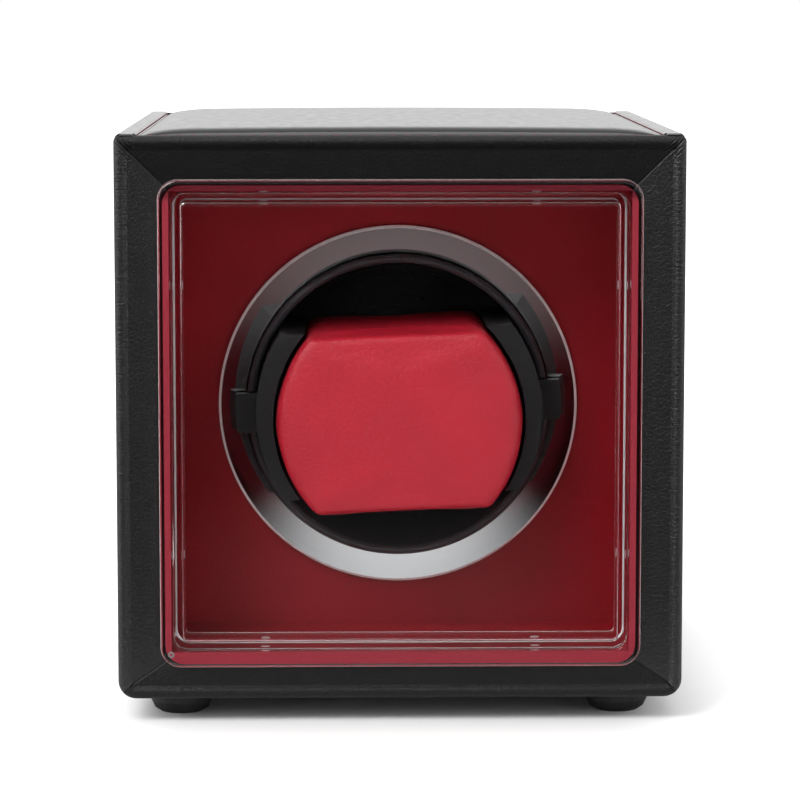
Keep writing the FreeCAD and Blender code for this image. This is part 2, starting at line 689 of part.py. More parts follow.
def back():
    panel = box((-OPEN_X, OPEN_X), BACK_T, (AXIS_Z - OPEN_Z, AXIS_Z + OPEN_Z))
    half = BLOCK / 2
    places = corners(OPEN_X - half, OPEN_Z - half)
    shank_t = (BACK_T[0] - BACK_SCREW_GRIP, BACK_T[1])
    head_t = (BACK_T[1], BACK_T[1] + SCREW_HEAD)
    shanks = group(hexagon(SCREW_FLATS, shank_t, *place) for place in places)
    openings = [
        shanks,
        rocker_block(ROCKER_BODY, BACK_T),
        rod(INLET_BARREL_R, BACK_T, INLET_X, CONTROL_Z),
        rod(SELECTOR_SHAFT_R + SELECTOR_SLEEVE, BACK_T, KNOB_X, CONTROL_Z),
    ]
    pieces["back_panel"] = panel.cut(group(openings))
    block_t = (BACK_T[0] - BLOCK, BACK_T[0])
    pieces["corner_blocks"] = group(
        box((x - half, x + half), block_t, (z - half, z + half)).cut(shanks) for x, z in places
    )
    pieces["back_screws"] = group(
        hexagon(SCREW_FLATS, shank_t, *place).fuse(rod(BACK_SCREW_HEAD_R, head_t, *place)) for place in places
    )
    pieces["control_board"] = box((-BOARD_HALF_W, BOARD_HALF_W), BOARD_T, BOARD_Z)
    power_inlet()
    rocker_switch()
    mode_selector()


def power_inlet():
    """Round low-voltage jack: block on the board, barrel in the panel, flange outside, pin in the bore."""
    x, z, half = INLET_X, CONTROL_Z, INLET_BLOCK
    block = box((x - half, x + half), (BOARD_T[1], BACK_T[0]), (z - half, z + half))
    body = block.fuse(rod(INLET_BARREL_R, BACK_T, x, z))
    body = body.fuse(rod(INLET_FLANGE_R, (BACK_T[1], INLET_FACE_T), x, z))
    pieces["power_inlet"] = body.cut(rod(INLET_BORE_R, (INLET_BORE_T, INLET_FACE_T), x, z)).removeSplitter()
    pieces["inlet_pin"] = rod(INLET_PIN_R, (INLET_BORE_T, INLET_FACE_T - INLET_PIN_SINK), x, z)


def rocker_block(half, t):
    return box((-half[0], half[0]), t, (CONTROL_Z - half[1], CONTROL_Z + half[1]))


def trunnion(radius, half):
    return Part.makeCylinder(radius, 2 * half, front_point(-half, CONTROL_Z, ROCKER_PIVOT_T), ALONG_X)


def rocker_switch():
    well = rocker_block(ROCKER_WELL, (INLET_BORE_T, ROCKER_FLANGE_T))
    body = rocker_block(ROCKER_BODY, (BOARD_T[1], BACK_T[1]))
    flange = rocker_block(ROCKER_FLANGE, (BACK_T[1], ROCKER_FLANGE_T))
    sockets = trunnion(TRUNNION_R + RUNNING_FIT, TRUNNION_HALF + TRUNNION_END_GAP)
    pieces["rocker_housing"] = body.fuse(flange).cut(well).cut(sockets).removeSplitter()
    reach = ROCKER_HALF[1]
    foot = reach - ROCKER_TUCK
    face = outline(
        lambda z, t: front_point(-ROCKER_HALF[0], CONTROL_Z + z, ROCKER_PIVOT_T + t),
        (-reach, ROCKER_WING),
        (0, ROCKER_DIP),
        (reach, ROCKER_WING),
        (foot, -ROCKER_DIP),
        ((0, -ROCKER_BELLY), (-foot, -ROCKER_DIP)),
    )
    rocker = face.extrude(ALONG_X * 2 * ROCKER_HALF[0]).fuse(trunnion(TRUNNION_R, TRUNNION_HALF))
    rocker.rotate(front_point(0, CONTROL_Z, ROCKER_PIVOT_T), ALONG_X, -ROCKER_TILT)
    pieces["power_rocker"] = rocker


def mode_selector():
    """Rotary switch on the board, its shaft in a sleeve through the panel, and the fluted knob on it."""
    x, z, half = KNOB_X, CONTROL_Z, SELECTOR_HALF
    shaft_t = (SELECTOR_SHAFT_T, KNOB_T[1] - KNOB_CROWN)
    body = box((x - half, x + half), (BOARD_T[1], SELECTOR_END_T), (z - half, z + half))
    sleeve = rod(SELECTOR_SHAFT_R + SELECTOR_SLEEVE, (SELECTOR_END_T, BACK_T[1]), x, z)
    bore = rod(SELECTOR_SHAFT_R + RUNNING_FIT, (shaft_t[0] - OUTPUT_END_GAP, BACK_T[1]), x, z)
    pieces["selector_switch"] = body.fuse(sleeve).cut(bore).removeSplitter()
    pieces["selector_shaft"] = rod(SELECTOR_SHAFT_R, shaft_t, x, z)
    rim = []
    for step in range(2 * KNOB_FLUTES):
        angle = math.pi * step / KNOB_FLUTES
        reach = KNOB_R - KNOB_FLUTE * (step % 2)
        rim.append((x + reach * math.cos(angle), z + reach * math.sin(angle)))
    knob = outline(lambda px, pz: front_point(px, pz, KNOB_T[0]), *rim)
    knob = knob.extrude(ALONG_Y * (KNOB_T[1] - KNOB_T[0]))
    pointer_t = (KNOB_T[1] - POINTER_DEPTH, KNOB_T[1])
    pointer = box((x - POINTER_HALF, x + POINTER_HALF), pointer_t, (z + POINTER_START, z + KNOB_R))
    hollow = rod(SELECTOR_SHAFT_R, (KNOB_T[0], shaft_t[1]), x, z)
    pieces["mode_knob"] = knob.cut(pointer).cut(hollow)


def feet():
    """Four bumpers stuck under the case, rounded in towards the floor."""
    y = (depth(FOOT_INSET), depth(CASE_L - FOOT_INSET))
    angles = [2 * math.pi * step / FOOT_SIDES for step in range(FOOT_SIDES + 1)]
    bumpers = []
    for place in [V(sign * FOOT_X, end, 0) for end in y for sign in SIDES.values()]:
        rings = []
        for r, z in FOOT_PROFILE:
            ring = [place + V(r * math.cos(a), r * math.sin(a), z) for a in angles]
            rings.append(Part.makePolygon(ring))
        bumpers.append(Part.makeLoft(rings, True, True))
    pieces["feet"] = group(bumpers)


carcass()
covering()
front_frame()
lining()
pieces["front_cover"] = front_cover()
pieces["drive_cup"] = drive_cup()
pillow()
drive_train()
gear_frame()
gear_motor()
back()
feet()

os.makedirs("parts", exist_ok=True)
for name, shape in pieces.items():
    shape.exportStep(os.path.join("parts", name + ".step"))
    print(name, len(shape.Solids), shape.isValid(), round(shape.Volume / 1000, 2), "cm3")
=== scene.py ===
import math

import bmesh
import bpy
from mathutils import Matrix, Vector


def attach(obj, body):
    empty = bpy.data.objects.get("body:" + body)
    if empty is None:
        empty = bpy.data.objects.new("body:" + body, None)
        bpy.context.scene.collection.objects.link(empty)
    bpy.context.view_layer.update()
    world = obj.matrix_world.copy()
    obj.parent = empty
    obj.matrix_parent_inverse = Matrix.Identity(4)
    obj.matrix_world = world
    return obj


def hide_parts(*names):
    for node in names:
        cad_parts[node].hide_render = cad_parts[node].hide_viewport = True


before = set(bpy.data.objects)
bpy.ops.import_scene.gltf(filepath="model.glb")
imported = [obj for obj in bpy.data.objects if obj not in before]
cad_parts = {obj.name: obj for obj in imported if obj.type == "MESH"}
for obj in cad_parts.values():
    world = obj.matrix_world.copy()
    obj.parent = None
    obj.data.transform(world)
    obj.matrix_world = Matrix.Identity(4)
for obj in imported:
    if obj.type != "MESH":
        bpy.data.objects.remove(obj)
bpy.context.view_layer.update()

# Watch winder box: materials for every piece, the soft pieces, the studio and the camera.
# Sizes are millimetres in the frame of the CAD model, except where a comment says otherwise. T is a depth
# behind the rim of the front frame. A pair that ends a soft step gives where it begins and where it is full.

MM = 0.001
MIDDLE_T = 73.5
AXIS_Z = 75.1
CASE_HALF_W = 70.0
CASE_TOP_Z = 145.5
CASE_BOTTOM_Z = 6.0

# Front frame, as in the CAD model, with softer turns between lip, groove and face
RAIL_DEPTH = 5.0
RAIL_OPEN_X = 58.1
RAIL_OPEN_Z = (15.2, 133.5)
RAIL_OPEN_R = 4.5
RAIL_STRAIGHT = 60
CORNER_BOTTOM_R = 4.5
CORNER_TOP_R = 1.5
CORNER_LEAST_R = 0.02
FACE_U = 3.6
FACE_SIDE = CASE_HALF_W - RAIL_OPEN_X - FACE_U
FACE_LOW = RAIL_OPEN_Z[0] - CASE_BOTTOM_Z - FACE_U
FACE_HIGH = CASE_TOP_Z - RAIL_OPEN_Z[1] - FACE_U
OPEN_TURN_START = 0.9
OPEN_TURN_SPAN = 0.1
RAIL_PROFILE = (
    (0.0, RAIL_DEPTH), (0.0, 3.2), (0.02, 1.6), (0.10, 1.05), (0.30, 0.62), (0.62, 0.30), (1.05, 0.09),
    (1.55, 0.0), (2.05, 0.07), (2.4, 0.22), (2.7, 0.41), (2.95, 0.58), (3.15, 0.70), (3.35, 0.78),
    (3.5, 0.81), (FACE_U, 0.82),
)
FACE_PROFILE = (
    (0.04, 0.85), (0.12, 0.91), (0.3, 1.07), (0.55, 1.34), (0.75, 1.59), (0.88, 1.79), (0.93, 1.90),
    (0.97, 2.07), (0.992, 2.29), (1.0, 2.6), (1.0, RAIL_DEPTH),
)

# Relief of the frame's leatherette: gathers on the lip, folds at the upper corners, sunk mitres.
# The sway is in radians, and the rate of the folds in radians per metre.
LIP_U = (3.3, 2.4)
GATHER_MM = 0.9
GATHER_STRETCH = (5.0, 5.0, 0.55)
GATHER_DEPTH = 0.22
FOLD_BESIDE = (3.6, 1.6)
FOLD_REACH = (10.0, 6.0)
FOLD_SWAY_MM = 4.0
FOLD_SWAY = 7.0
FOLD_RATE = 5200.0
FOLD_DEPTH = 0.09
MITRE_HALF = (0.45, 0.08)
MITRE_DEPTH = 0.28
MITRE_SHADE = 0.8

# Clear cover, as in the CAD model, with the rounded edges of a moulding
COVER_HALF_X = 59.25
COVER_Z = (14.6, 135.1)
COVER_T = 3.0
COVER_CORNER_R = 5.0
COVER_EDGE_R = 0.9
COVER_BACK_R = 0.35
SKIRT_HALF = (55.85, 56.35)
SKIRT_WALL = 1.8
SKIRT_DEPTH = 14.0
SKIRT_CORNER_R = 3.4
SKIRT_LEAST_R = 0.25
SKIRT_ROOT_R = 0.7
SKIRT_END_R = 0.6
SKIRT_INNER_R = 1.0
ROUND_HOLD = 0.4
BUMP_R = 1.1
BUMP_PROUD = 0.6
BUMP_OFFSET = 33.5
BUMP_T = 6.0
BUMP_LIFT = 0.01
BUMP_SWEEP = 80.0
GATE_PLACE = (-56.6, 17.9)
GATE_R = (0.35, 0.8)
GATE_T = (-2.9, -2.75)
GATE_STEPS = 24

# Where the clear cover shines: its rim, dimmed by painted shade along the top, the end of its skirt and its
# bumps
RIM_INSET = (0.24, 0.12)
RIM_SHINE = 0.6
RIM_SHADE_Z = (131.0, 134.5)
RIM_SHADED_TOP_SHARE = 0.4
END_LINE_START = (0.06, 0.14)
END_LINE_STOP = (0.42, 0.5)
BUMP_SHINE = (0.15, -0.05)
GLINT_METAL = 0.7
SHINE_CLOUD = 0.75
SHINE_ROUGH = 0.36
ACRYLIC_IOR = 1.49

# Trim ring, where its outer bevel with a painted highlight begins, and the lip of the cup with its bevels
RING_EDGE_R = 45.3
RING_EDGE_STEP = 0.06
RING_ROUGH = 0.035
RING_EDGE_ROUGH = 0.5
LIP_MIDDLE_R = 37.65
LIP_BEVEL = 0.7
LIP_CROWN = 0.8

# Front edges of the liner boards, with painted shade along the top, where the frame shades them
LINER_FRONT_T = (8.0, 6.5)
LINER_SHADE_Z = (129.0, 131.5)

# Pillow, as in the CAD model: a lofted shell, inflated, and kept from the end caps
PILLOW_HALF_W = 31.65
PILLOW_HALF_H = 23.0
PILLOW_SIDE_R = 33.5
PILLOW_SAG = 2.0
PILLOW_FRONT_T = 12.5
PILLOW_BACK_T = 64.0
PILLOW_INSET = 0.5
PILLOW_PROFILE = ((0.0, 0.93), (0.12, 0.955), (0.5, 0.974), (1.2, 0.985), (2.4, 0.99))
PILLOW_VOXEL = 1.15
PILLOW_PRESSURE = 2.0
PILLOW_SWELL = 0.6
PILLOW_ROOM_Z = 0.4
PILLOW_ROOM_T = 0.3
PILLOW_ROOM_X = 0.35
PILLOW_CAP_GAP = 0.02
CLOTH_STIFF = 25.0
CLOTH_BEND = 2.0
CLOTH_QUALITY = 6
PARK_TURN = math.radians(2.5)
CAP_T = (18.5, 62.5)
CAP_HALF = 21.5

# Padded top
PAD_HALF_W = 64.0
PAD_T = (5.0, 146.0)
PAD_GAP = 0.05
PAD_BASE_Z = 142.5
PAD_EDGE_Z = 144.9
PAD_CROWN_Z = 147.4
PAD_ARCH = 0.5
PAD_GRID = (90, 96)
PAD_SIDE_ROLL = 13.0
PAD_END_ROLL = 9.0
PAD_ROLL_POWER = 2.2
PUCKER_RATE = 1.9
PUCKER_REACH = 2.2
PUCKER_DEPTH = 0.05
PUCKER_START = 0.8
STRIP_TOP_Z = 146.0
STRIP_EDGE_R = 1.7
STITCH_PITCH = 3.4
STITCH_LENGTH = 2.4
STITCH_R = 0.2
SEAM_END = 2.0
FRONT_SEAM_T = 4.5
FRONT_SEAM_END = 3.0

# Back: where the boards are stained for the recess round the panel, the recesses of the screws, the marks
STAIN_T = (139.5, 140.0)
SCREW_X = 54.4
SCREW_RISE = 54.9
RECESS_LONG = (1.35, 1.65)
RECESS_THIN = (0.30, 0.42)
RECESS_DEPTH = 0.75
SHARP_ANGLE = math.radians(35)
CONTROL_Z = 36.0
KNOB_X = 20.0
POINTER_HALF = (0.56, 0.48)
POINTER_RISE = (1.4, 1.6)
POINTER_FRONT_T = (148.9, 149.0)
POINTER_BACK_T = (149.35, 149.2)
MARK_RISE = 4.0
BAR_HALF_W = (0.26, 0.20)
BAR_HALF_H = (1.25, 1.15)
CIRCLE_R = 1.0
CIRCLE_HALF = (0.24, 0.18)
TICK_R = 10.4
TICK_HALF = (1.05, 0.95)
TICK_RATE = 6.0
TICK_WAVE = (0.2, 0.13)
TICK_MIDDLE = math.pi / 4
TICK_SPREAD = (0.95, 0.9)
TICK_T = (143.8, 143.95)

# Finish of each leatherette: size and depth of its pebbles, roughness, shine
WRAP_FINISH = (0.65, 0.065, 0.42, 0.45)
STRIP_FINISH = (0.6, 0.006, 0.15, 0.7)
UPRIGHT_FINISH = (0.6, 0.055, 0.42, 0.55)
LEVEL_FINISH = (0.6, 0.055, 0.42, 0.26)
PAD_FINISH = (0.7, 0.005, 0.17, 0.66)
PANEL_FINISH = (0.85, 0.03, 0.5, 0.2)
PILLOW_FINISH = (0.7, 0.055, 0.45, 0.5)

# Grain of the leatherette and of the mouldings; depths in shares of the pebbles where not in millimetres
CREASE_SPREAD = 1.9
CREASE_WIDTH = 0.12
CREASE_DEPTH = 0.7
DENT_MM = 7.0
DENT_DEPTH_MM = 0.05
FINE_MM = 0.25
FINE_DEPTH = 0.35
WORN_PEBBLE = 0.25
WORN_SHARE = 0.35
FLOW_MM = 9.0
FLOW_DEPTH_MM = 0.02

# Colours, linear
BLACK_LEATHER = (0.0058, 0.0058, 0.0063)
MITRE_BLACK = (0.002, 0.002, 0.002)
RED_PANEL = (0.32, 0.004, 0.011)
RED_PILLOW = (0.54, 0.012, 0.031)
LINER_EDGE = (0.30, 0.024, 0.040)
# painted shade: colour of the liner edges along the top, where the frame shades them
LINER_EDGE_PAINTED_SHADE = (0.12, 0.007, 0.014)
RED_THREAD = (0.16, 0.010, 0.022)
MARK_WHITE = (0.55, 0.55, 0.53)
BLACK_MOULDING = (0.014, 0.014, 0.015)
BACK_PLASTIC = (0.006, 0.006, 0.0065)
CUP_PLASTIC = (0.034, 0.034, 0.038)
GEAR_PLASTIC = (0.68, 0.66, 0.58)
GATE_GREY = (0.15, 0.14, 0.14)
PLAIN_STEEL = (0.56, 0.57, 0.58)
SCREW_TONES = ((0.07, 0.07, 0.074), (0.12, 0.12, 0.126))
MIRROR_TONE = (0.87, 0.87, 0.88)
# painted highlight: pale colour of the trim ring's outer bevel, in place of its reflection
MIRROR_EDGE_HIGHLIGHT = (0.98, 0.98, 0.98)
ACRYLIC_TONE = (0.97, 0.975, 0.98)
ACRYLIC_SHINE = (0.95, 0.95, 0.96)
ACRYLIC_SHADOW = (0.94, 0.94, 0.94, 1.0)
BOARD_TONES = ((0.23, 0.13, 0.06), (0.44, 0.29, 0.15))
BOARD_STAIN = (0.006, 0.006, 0.006)
MASK_TONES = ((0.01, 0.09, 0.03), (0.02, 0.16, 0.05))
LEAD_BLACK = (0.01, 0.01, 0.01)
FOOT_BLACK = (0.008, 0.008, 0.008)

# Studio, in metres and watts: the floor keeps its shade near the box, and cards show in reflections only.
# Four values are the ends of a soft step and the light at each of them.
FLOOR_HALF = 6.0
FLOOR_TONES = ((0.80, 0.80, 0.80), (0.82, 0.82, 0.82))
SHADE_HALF = (0.050, 0.056)
SHADE_FRONT = 0.55
GLOW_NEAR = (0.0, 0.042, 0.0, 0.6)
GLOW_FAR = (0.02, 0.3, 0.0, 0.4)
WORLD_FILL = 0.46
CARD_HALF_W = 3.0
CARD_LOW = 0.002
CARD_FRONT_Y = -1.9
CARD_NEAR_Y = -0.11
CARD_REAR_Y = 1.4
CARD_FRONT_TOP = 2.4
CARD_REAR_TOP = 7.0
FLOOR_CARD_NEAR = (-0.5, -0.22, 0.0, 0.15)
FLOOR_CARD_HALF = (0.085, 0.02)
FRONT_CARD_LOW = (0.09, 0.42, 0.0, 0.85)
FRONT_CARD_HIGH = (0.85, 0.5, 0.25, 1.0)
BACK_CARD_HIGH = (0.4, 0.9, 1.0, 0.42)
LAMPS = (
    ("key", (-0.85, -1.05, 1.35), (0, 0, 0.06), (0.9, 0.8), 23.0),
    ("right_strip", (1.05, -0.75, 0.45), (0, 0, 0.07), (0.35, 1.0), 4.5),
    ("left_strip", (-1.15, -0.55, 0.5), (0, 0, 0.07), (0.25, 1.1), 5.5),
    ("top", (0.0, 0.3, 1.5), (0, 0, 0.1), (1.2, 1.0), 6.0),
)

# Camera, in metres and degrees
EYE_PLACE = (-0.01455, -0.8431, 0.1807)
EYE_DOWN = 6.24
EYE_TURN = -1.073
EYE_LENS = 142.2
EYE_SENSOR = 36.0
EYE_SHIFT = -0.08
EYE_NEAR = 0.02


def depth(t):
    """Y of a depth behind the rim of the front frame, both in millimetres."""
    return t - MIDDLE_T


def point(x, t, z):
    return Vector((x * MM, depth(t) * MM, z * MM))


class Look:
    """A material and a short way to add nodes to it."""

    def __init__(self, name):
        self.material = bpy.data.materials.new(name)
        self.material.use_nodes = True
        self.tree = self.material.node_tree
        self.tree.nodes.clear()
        self.out = self.tree.nodes.new("ShaderNodeOutputMaterial")
        self.coords = self.add("TexCoord").outputs["Object"]

    def add(self, kind, inputs=None, **settings):
        made = self.tree.nodes.new("ShaderNode" + kind)
        for key, value in settings.items():
            setattr(made, key, value)
        for key, value in (inputs or {}).items():
            if isinstance(value, bpy.types.NodeSocket):
                self.tree.links.new(value, made.inputs[key])
            else:
                made.inputs[key].default_value = value
        return made

    def maths(self, operation, first, second=0.0, third=0.0):
        made = self.add("Math", {0: first, 1: second, 2: third}, operation=operation)
        return made.outputs[0]

    def reach(self, first, second):
        """Length over two legs at a right angle."""
        squares = [self.maths("POWER", leg, 2.0) for leg in (first, second)]
        return self.maths("SQRT", self.maths("ADD", *squares))

    def apart(self, first, second):
        """Distance between two values."""
        return self.maths("ABSOLUTE", self.maths("SUBTRACT", first, second))

    def past(self, value, start):
        """How far a value of either sign goes past a start."""
        beyond = self.maths("SUBTRACT", self.maths("ABSOLUTE", value), start)
        return self.maths("MAXIMUM", beyond, 0.0)

    def ramp(self, value, low, high, out_low=0.0, out_high=1.0):
        """Smooth step of a value, from out_low at low to out_high at high."""
        inputs = {"Value": value, "From Min": low, "From Max": high, "To Min": out_low, "To Max": out_high}
        return self.add("MapRange", inputs, interpolation_type="SMOOTHSTEP").outputs["Result"]

    def fade(self, value, ends, out_low=0.0, out_high=1.0):
        """Smooth step of a length in metres, between ends in millimetres."""
        return self.ramp(value, ends[0] * MM, ends[1] * MM, out_low, out_high)

    def fade_t(self, y, ends):
        """Smooth step between two depths behind the rim."""
        return self.fade(y, [depth(t) for t in ends])

    def noise(self, size_mm, detail=3.0, roughness=0.5, stretch=(1, 1, 1)):
        """Noise of about this grain, drawn out along an axis where stretch is over 1."""
        place = self.add("Mapping", {"Vector": self.coords, "Scale": tuple(1 / s for s in stretch)})
        inputs = {
            "Vector": place.outputs["Vector"],
            "Scale": 1 / (size_mm * MM),
            "Detail": detail,
            "Roughness": roughness,
        }
        return self.add("TexNoise", inputs).outputs["Fac"]

    def pebbles(self, size_mm, edge=False):
        """Cells of about this size: height at their middles, or distance from their edges."""
        inputs = {"Vector": self.coords, "Scale": 1 / (size_mm * MM), "Randomness": 1.0}
        feature = "DISTANCE_TO_EDGE" if edge else "SMOOTH_F1"
        return self.add("TexVoronoi", inputs, feature=feature).outputs["Distance"]

    def axes(self):
        split = self.add("SeparateXYZ", {"Vector": self.coords})
        return [split.outputs[axis] for axis in "XYZ"]

    def blend(self, factor, first, second):
        made = self.add("Mix", data_type="RGBA", blend_type="MIX")
        self.tree.links.new(factor, made.inputs["Factor"])
        for key, value in ((6, first), (7, second)):
            if isinstance(value, bpy.types.NodeSocket):
                self.tree.links.new(value, made.inputs[key])
            else:
                made.inputs[key].default_value = (*value, 1.0)
        return made.outputs[2]

    def uneven(self, rough, size_mm, spread):
        """Roughness that wanders about a value."""
        return self.maths("MULTIPLY_ADD", self.noise(size_mm, detail=3.0), spread, rough - spread / 2)

    def relief(self, height_mm):
        """Normal from a height in millimetres."""
        inputs = {"Height": height_mm, "Distance": MM, "Strength": 1.0}
        return self.add("Bump", inputs).outputs["Normal"]

    def show(self, shader):
        self.tree.links.new(shader, self.out.inputs["Surface"])

    def principled(self, inputs):
        self.show(self.add("BsdfPrincipled", inputs).outputs["BSDF"])


def tinted(colour, factor, lift=0.0):
    return tuple(min(1.0, c * factor + lift) for c in colour)


def leather(name, colour, finish, extra=None):
    """Leatherette: pebbles with fine creases, soft dents, slight variation in colour and gloss."""
    pebble_mm, pebble_depth, rough, shine = finish
    look = Look(name)
    pebble = look.pebbles(pebble_mm)
    crease = look.ramp(look.pebbles(pebble_mm * CREASE_SPREAD, edge=True), 0.0, CREASE_WIDTH)
    layers = (
        (crease, pebble_depth * CREASE_DEPTH),
        (look.noise(DENT_MM, detail=2.0), DENT_DEPTH_MM),
        (look.noise(FINE_MM, detail=2.0), pebble_depth * FINE_DEPTH),
    )
    height = look.maths("MULTIPLY", pebble, -pebble_depth)
    for layer, weight in layers:
        height = look.maths("MULTIPLY_ADD", layer, weight, height)
    tone = look.blend(look.noise(16.0, detail=4.0), tinted(colour, 0.75), colour)
    worn = look.ramp(pebble, WORN_PEBBLE, 0.0, 0.0, WORN_SHARE)
    tone = look.blend(worn, tone, tinted(colour, 1.35, lift=0.002))
    if extra:
        height, tone = extra(look, height, tone)
    inputs = {
        "Base Color": tone,
        "Roughness": look.uneven(rough, size_mm=3.0, spread=0.16),
        "Specular IOR Level": shine,
        "Normal": look.relief(height),
    }
    look.principled(inputs)
    return look.material


def rail_extra(upright):
    """Extra relief of a front rail: fine gathers across the lip, folds at the corners, a sunk mitre."""

    def extra(look, height, tone):
        x, _, z = look.axes()
        u = look.maths("SUBTRACT", CASE_HALF_W * MM, look.maths("ABSOLUTE", x))
        v = look.maths("SUBTRACT", CASE_TOP_Z * MM, z)
        w = look.maths("SUBTRACT", z, CASE_BOTTOM_Z * MM)
        across = u if upright else look.maths("MINIMUM", v, w)
        stretch = GATHER_STRETCH if upright else tuple(reversed(GATHER_STRETCH))
        gathers = look.noise(GATHER_MM, detail=4.0, roughness=0.65, stretch=stretch)
        gathers = look.maths("MULTIPLY", gathers, look.fade(across, LIP_U))
        height = look.maths("MULTIPLY_ADD", gathers, GATHER_DEPTH, height)
        gap = look.maths("SUBTRACT", v, u)
        top_gap = look.maths("ABSOLUTE", gap)
        near_top = look.fade(look.maths("ADD", u, v), FOLD_REACH)
        near_top = look.maths("MULTIPLY", near_top, look.fade(top_gap, FOLD_BESIDE))
        sway = look.maths("MULTIPLY", look.noise(FOLD_SWAY_MM, detail=2.0), FOLD_SWAY)
        folds = look.maths("SINE", look.maths("MULTIPLY_ADD", gap, FOLD_RATE, sway))
        height = look.maths("MULTIPLY_ADD", look.maths("MULTIPLY", folds, near_top), FOLD_DEPTH, height)
        past_lip = look.maths("MAXIMUM", look.maths("SUBTRACT", u, FACE_U * MM), 0.0)
        low = look.maths("SUBTRACT", u, look.maths("MULTIPLY", past_lip, 1 - FACE_LOW / FACE_SIDE))
        sunk = look.fade(look.maths("MINIMUM", top_gap, look.apart(w, low)), MITRE_HALF)
        height = look.maths("MULTIPLY_ADD", sunk, -MITRE_DEPTH, height)
        tone = look.blend(look.maths("MULTIPLY", sunk, MITRE_SHADE), tone, MITRE_BLACK)
        return height, tone

    return extra


def liner_edges_and_shade(look, height, tone):
    """Front edges of the liner boards: paler than the faces, with painted shade along the top where the
    frame shades them.
    """
    _, y, z = look.axes()
    # painted shade: the front edges turn dark along the top, where the frame shades them
    edge = look.blend(look.fade(z, LINER_SHADE_Z), LINER_EDGE, LINER_EDGE_PAINTED_SHADE)
    return height, look.blend(look.fade_t(y, LINER_FRONT_T), tone, edge)


def radius_mm(look):
    """Distance from the axis of the cup, in millimetres."""
    x, _, z = look.axes()
    return look.maths("DIVIDE", look.reach(x, look.maths("SUBTRACT", z, AXIS_Z * MM)), MM)


def rounded_lip(look, height):
    """Makes the bevelled lip of the cup read as one round: each of its three flats is crowned."""
    across = look.maths("PINGPONG", look.apart(radius_mm(look), LIP_MIDDLE_R), LIP_BEVEL / 2)
    return look.maths("MULTIPLY_ADD", look.maths("POWER", across, 2.0), -LIP_CROWN, height)


def moulded_tone(look, colour):
    return look.blend(look.noise(22.0, detail=3.0), colour, tinted(colour, 1.3, lift=0.001))


def plastic(name, colour, rough, grain=0.006, extra=None):
    """Moulded plastic: fine spark-eroded grain, faint flow marks, uneven gloss."""
    look = Look(name)
    height = look.maths("MULTIPLY", look.noise(0.18, detail=2.0), grain)
    height = look.maths("MULTIPLY_ADD", look.noise(FLOW_MM, detail=1.0), FLOW_DEPTH_MM, height)
    if extra:
        height = extra(look, height)
    tone = moulded_tone(look, colour)
    gloss = look.uneven(rough, size_mm=2.2, spread=0.14)
    look.principled({"Base Color": tone, "Roughness": gloss, "Normal": look.relief(height)})
    return look.material


def brushed_metal(name, colour, rough, along):
    """Bare metal, brushed along an axis that is given as a stretch of the grain."""
    look = Look(name)
    lines = look.noise(0.12, detail=3.0, stretch=along)
    height = look.maths("MULTIPLY", lines, 0.004)
    gloss = look.maths("MULTIPLY_ADD", lines, rough * 0.5, rough * 0.75)
    tone = look.blend(look.noise(10.0, detail=3.0), tinted(colour, 0.86), colour)
    inputs = {"Base Color": tone, "Metallic": 1.0, "Roughness": gloss, "Normal": look.relief(height)}
    look.principled(inputs)
    return look.material


def mirror_ring(name):
    """Polished trim ring: mirror face, and a painted highlight on the turned outer edge, pale and not metal.
    """
    look = Look(name)
    # painted highlight: the outer bevel is a pale band that is not metal, in place of its reflection
    edge = look.ramp(radius_mm(look), RING_EDGE_R, RING_EDGE_R + RING_EDGE_STEP)
    polish = look.noise(6.0, detail=2.0)
    tone = look.blend(edge, MIRROR_TONE, MIRROR_EDGE_HIGHLIGHT)
    gloss = look.maths("MULTIPLY_ADD", edge, RING_EDGE_ROUGH, RING_ROUGH)
    gloss = look.maths("MULTIPLY_ADD", polish, 0.02, gloss)
    solid = look.maths("SUBTRACT", 1.0, edge)
    height = look.maths("MULTIPLY", polish, 0.0006)
    inputs = {"Base Color": tone, "Metallic": solid, "Roughness": gloss, "Normal": look.relief(height)}
    look.principled(inputs)
    return look.material


def rim_shine(look, x, z):
    """The rounded rim of the clear cover, dimmed by painted shade along the top."""
    middle_z = (COVER_Z[0] + COVER_Z[1]) / 2
    straight_x = COVER_HALF_X - COVER_CORNER_R
    straight_z = (COVER_Z[1] - COVER_Z[0]) / 2 - COVER_CORNER_R
    past_x = look.past(x, straight_x * MM)
    past_z = look.past(look.maths("SUBTRACT", z, middle_z * MM), straight_z * MM)
    ends = [COVER_CORNER_R - inset for inset in RIM_INSET]
    rim = look.fade(look.reach(past_x, past_z), ends, 0.0, RIM_SHINE)
    # painted shade: the rim shines less along the top
    return look.maths("MULTIPLY", rim, look.fade(z, RIM_SHADE_Z, 1.0, RIM_SHADED_TOP_SHARE))


def skirt_glint(look, x, y, z):
    """Bright line round the end of the skirt, and the bumps on it."""
    end_t = SKIRT_DEPTH - SKIRT_END_R
    start = look.fade_t(y, [end_t + step for step in END_LINE_START])
    stop = look.fade_t(y, [end_t + step for step in END_LINE_STOP])
    glint = look.maths("SUBTRACT", start, stop)
    behind = look.maths("SUBTRACT", y, depth(BUMP_T) * MM)
    ends = [BUMP_R + step for step in BUMP_SHINE]
    for along in (x, look.maths("SUBTRACT", z, AXIS_Z * MM)):
        beside = look.maths("SUBTRACT", look.maths("ABSOLUTE", along), BUMP_OFFSET * MM)
        glint = look.maths("MAXIMUM", glint, look.fade(look.reach(beside, behind), ends))
    return glint


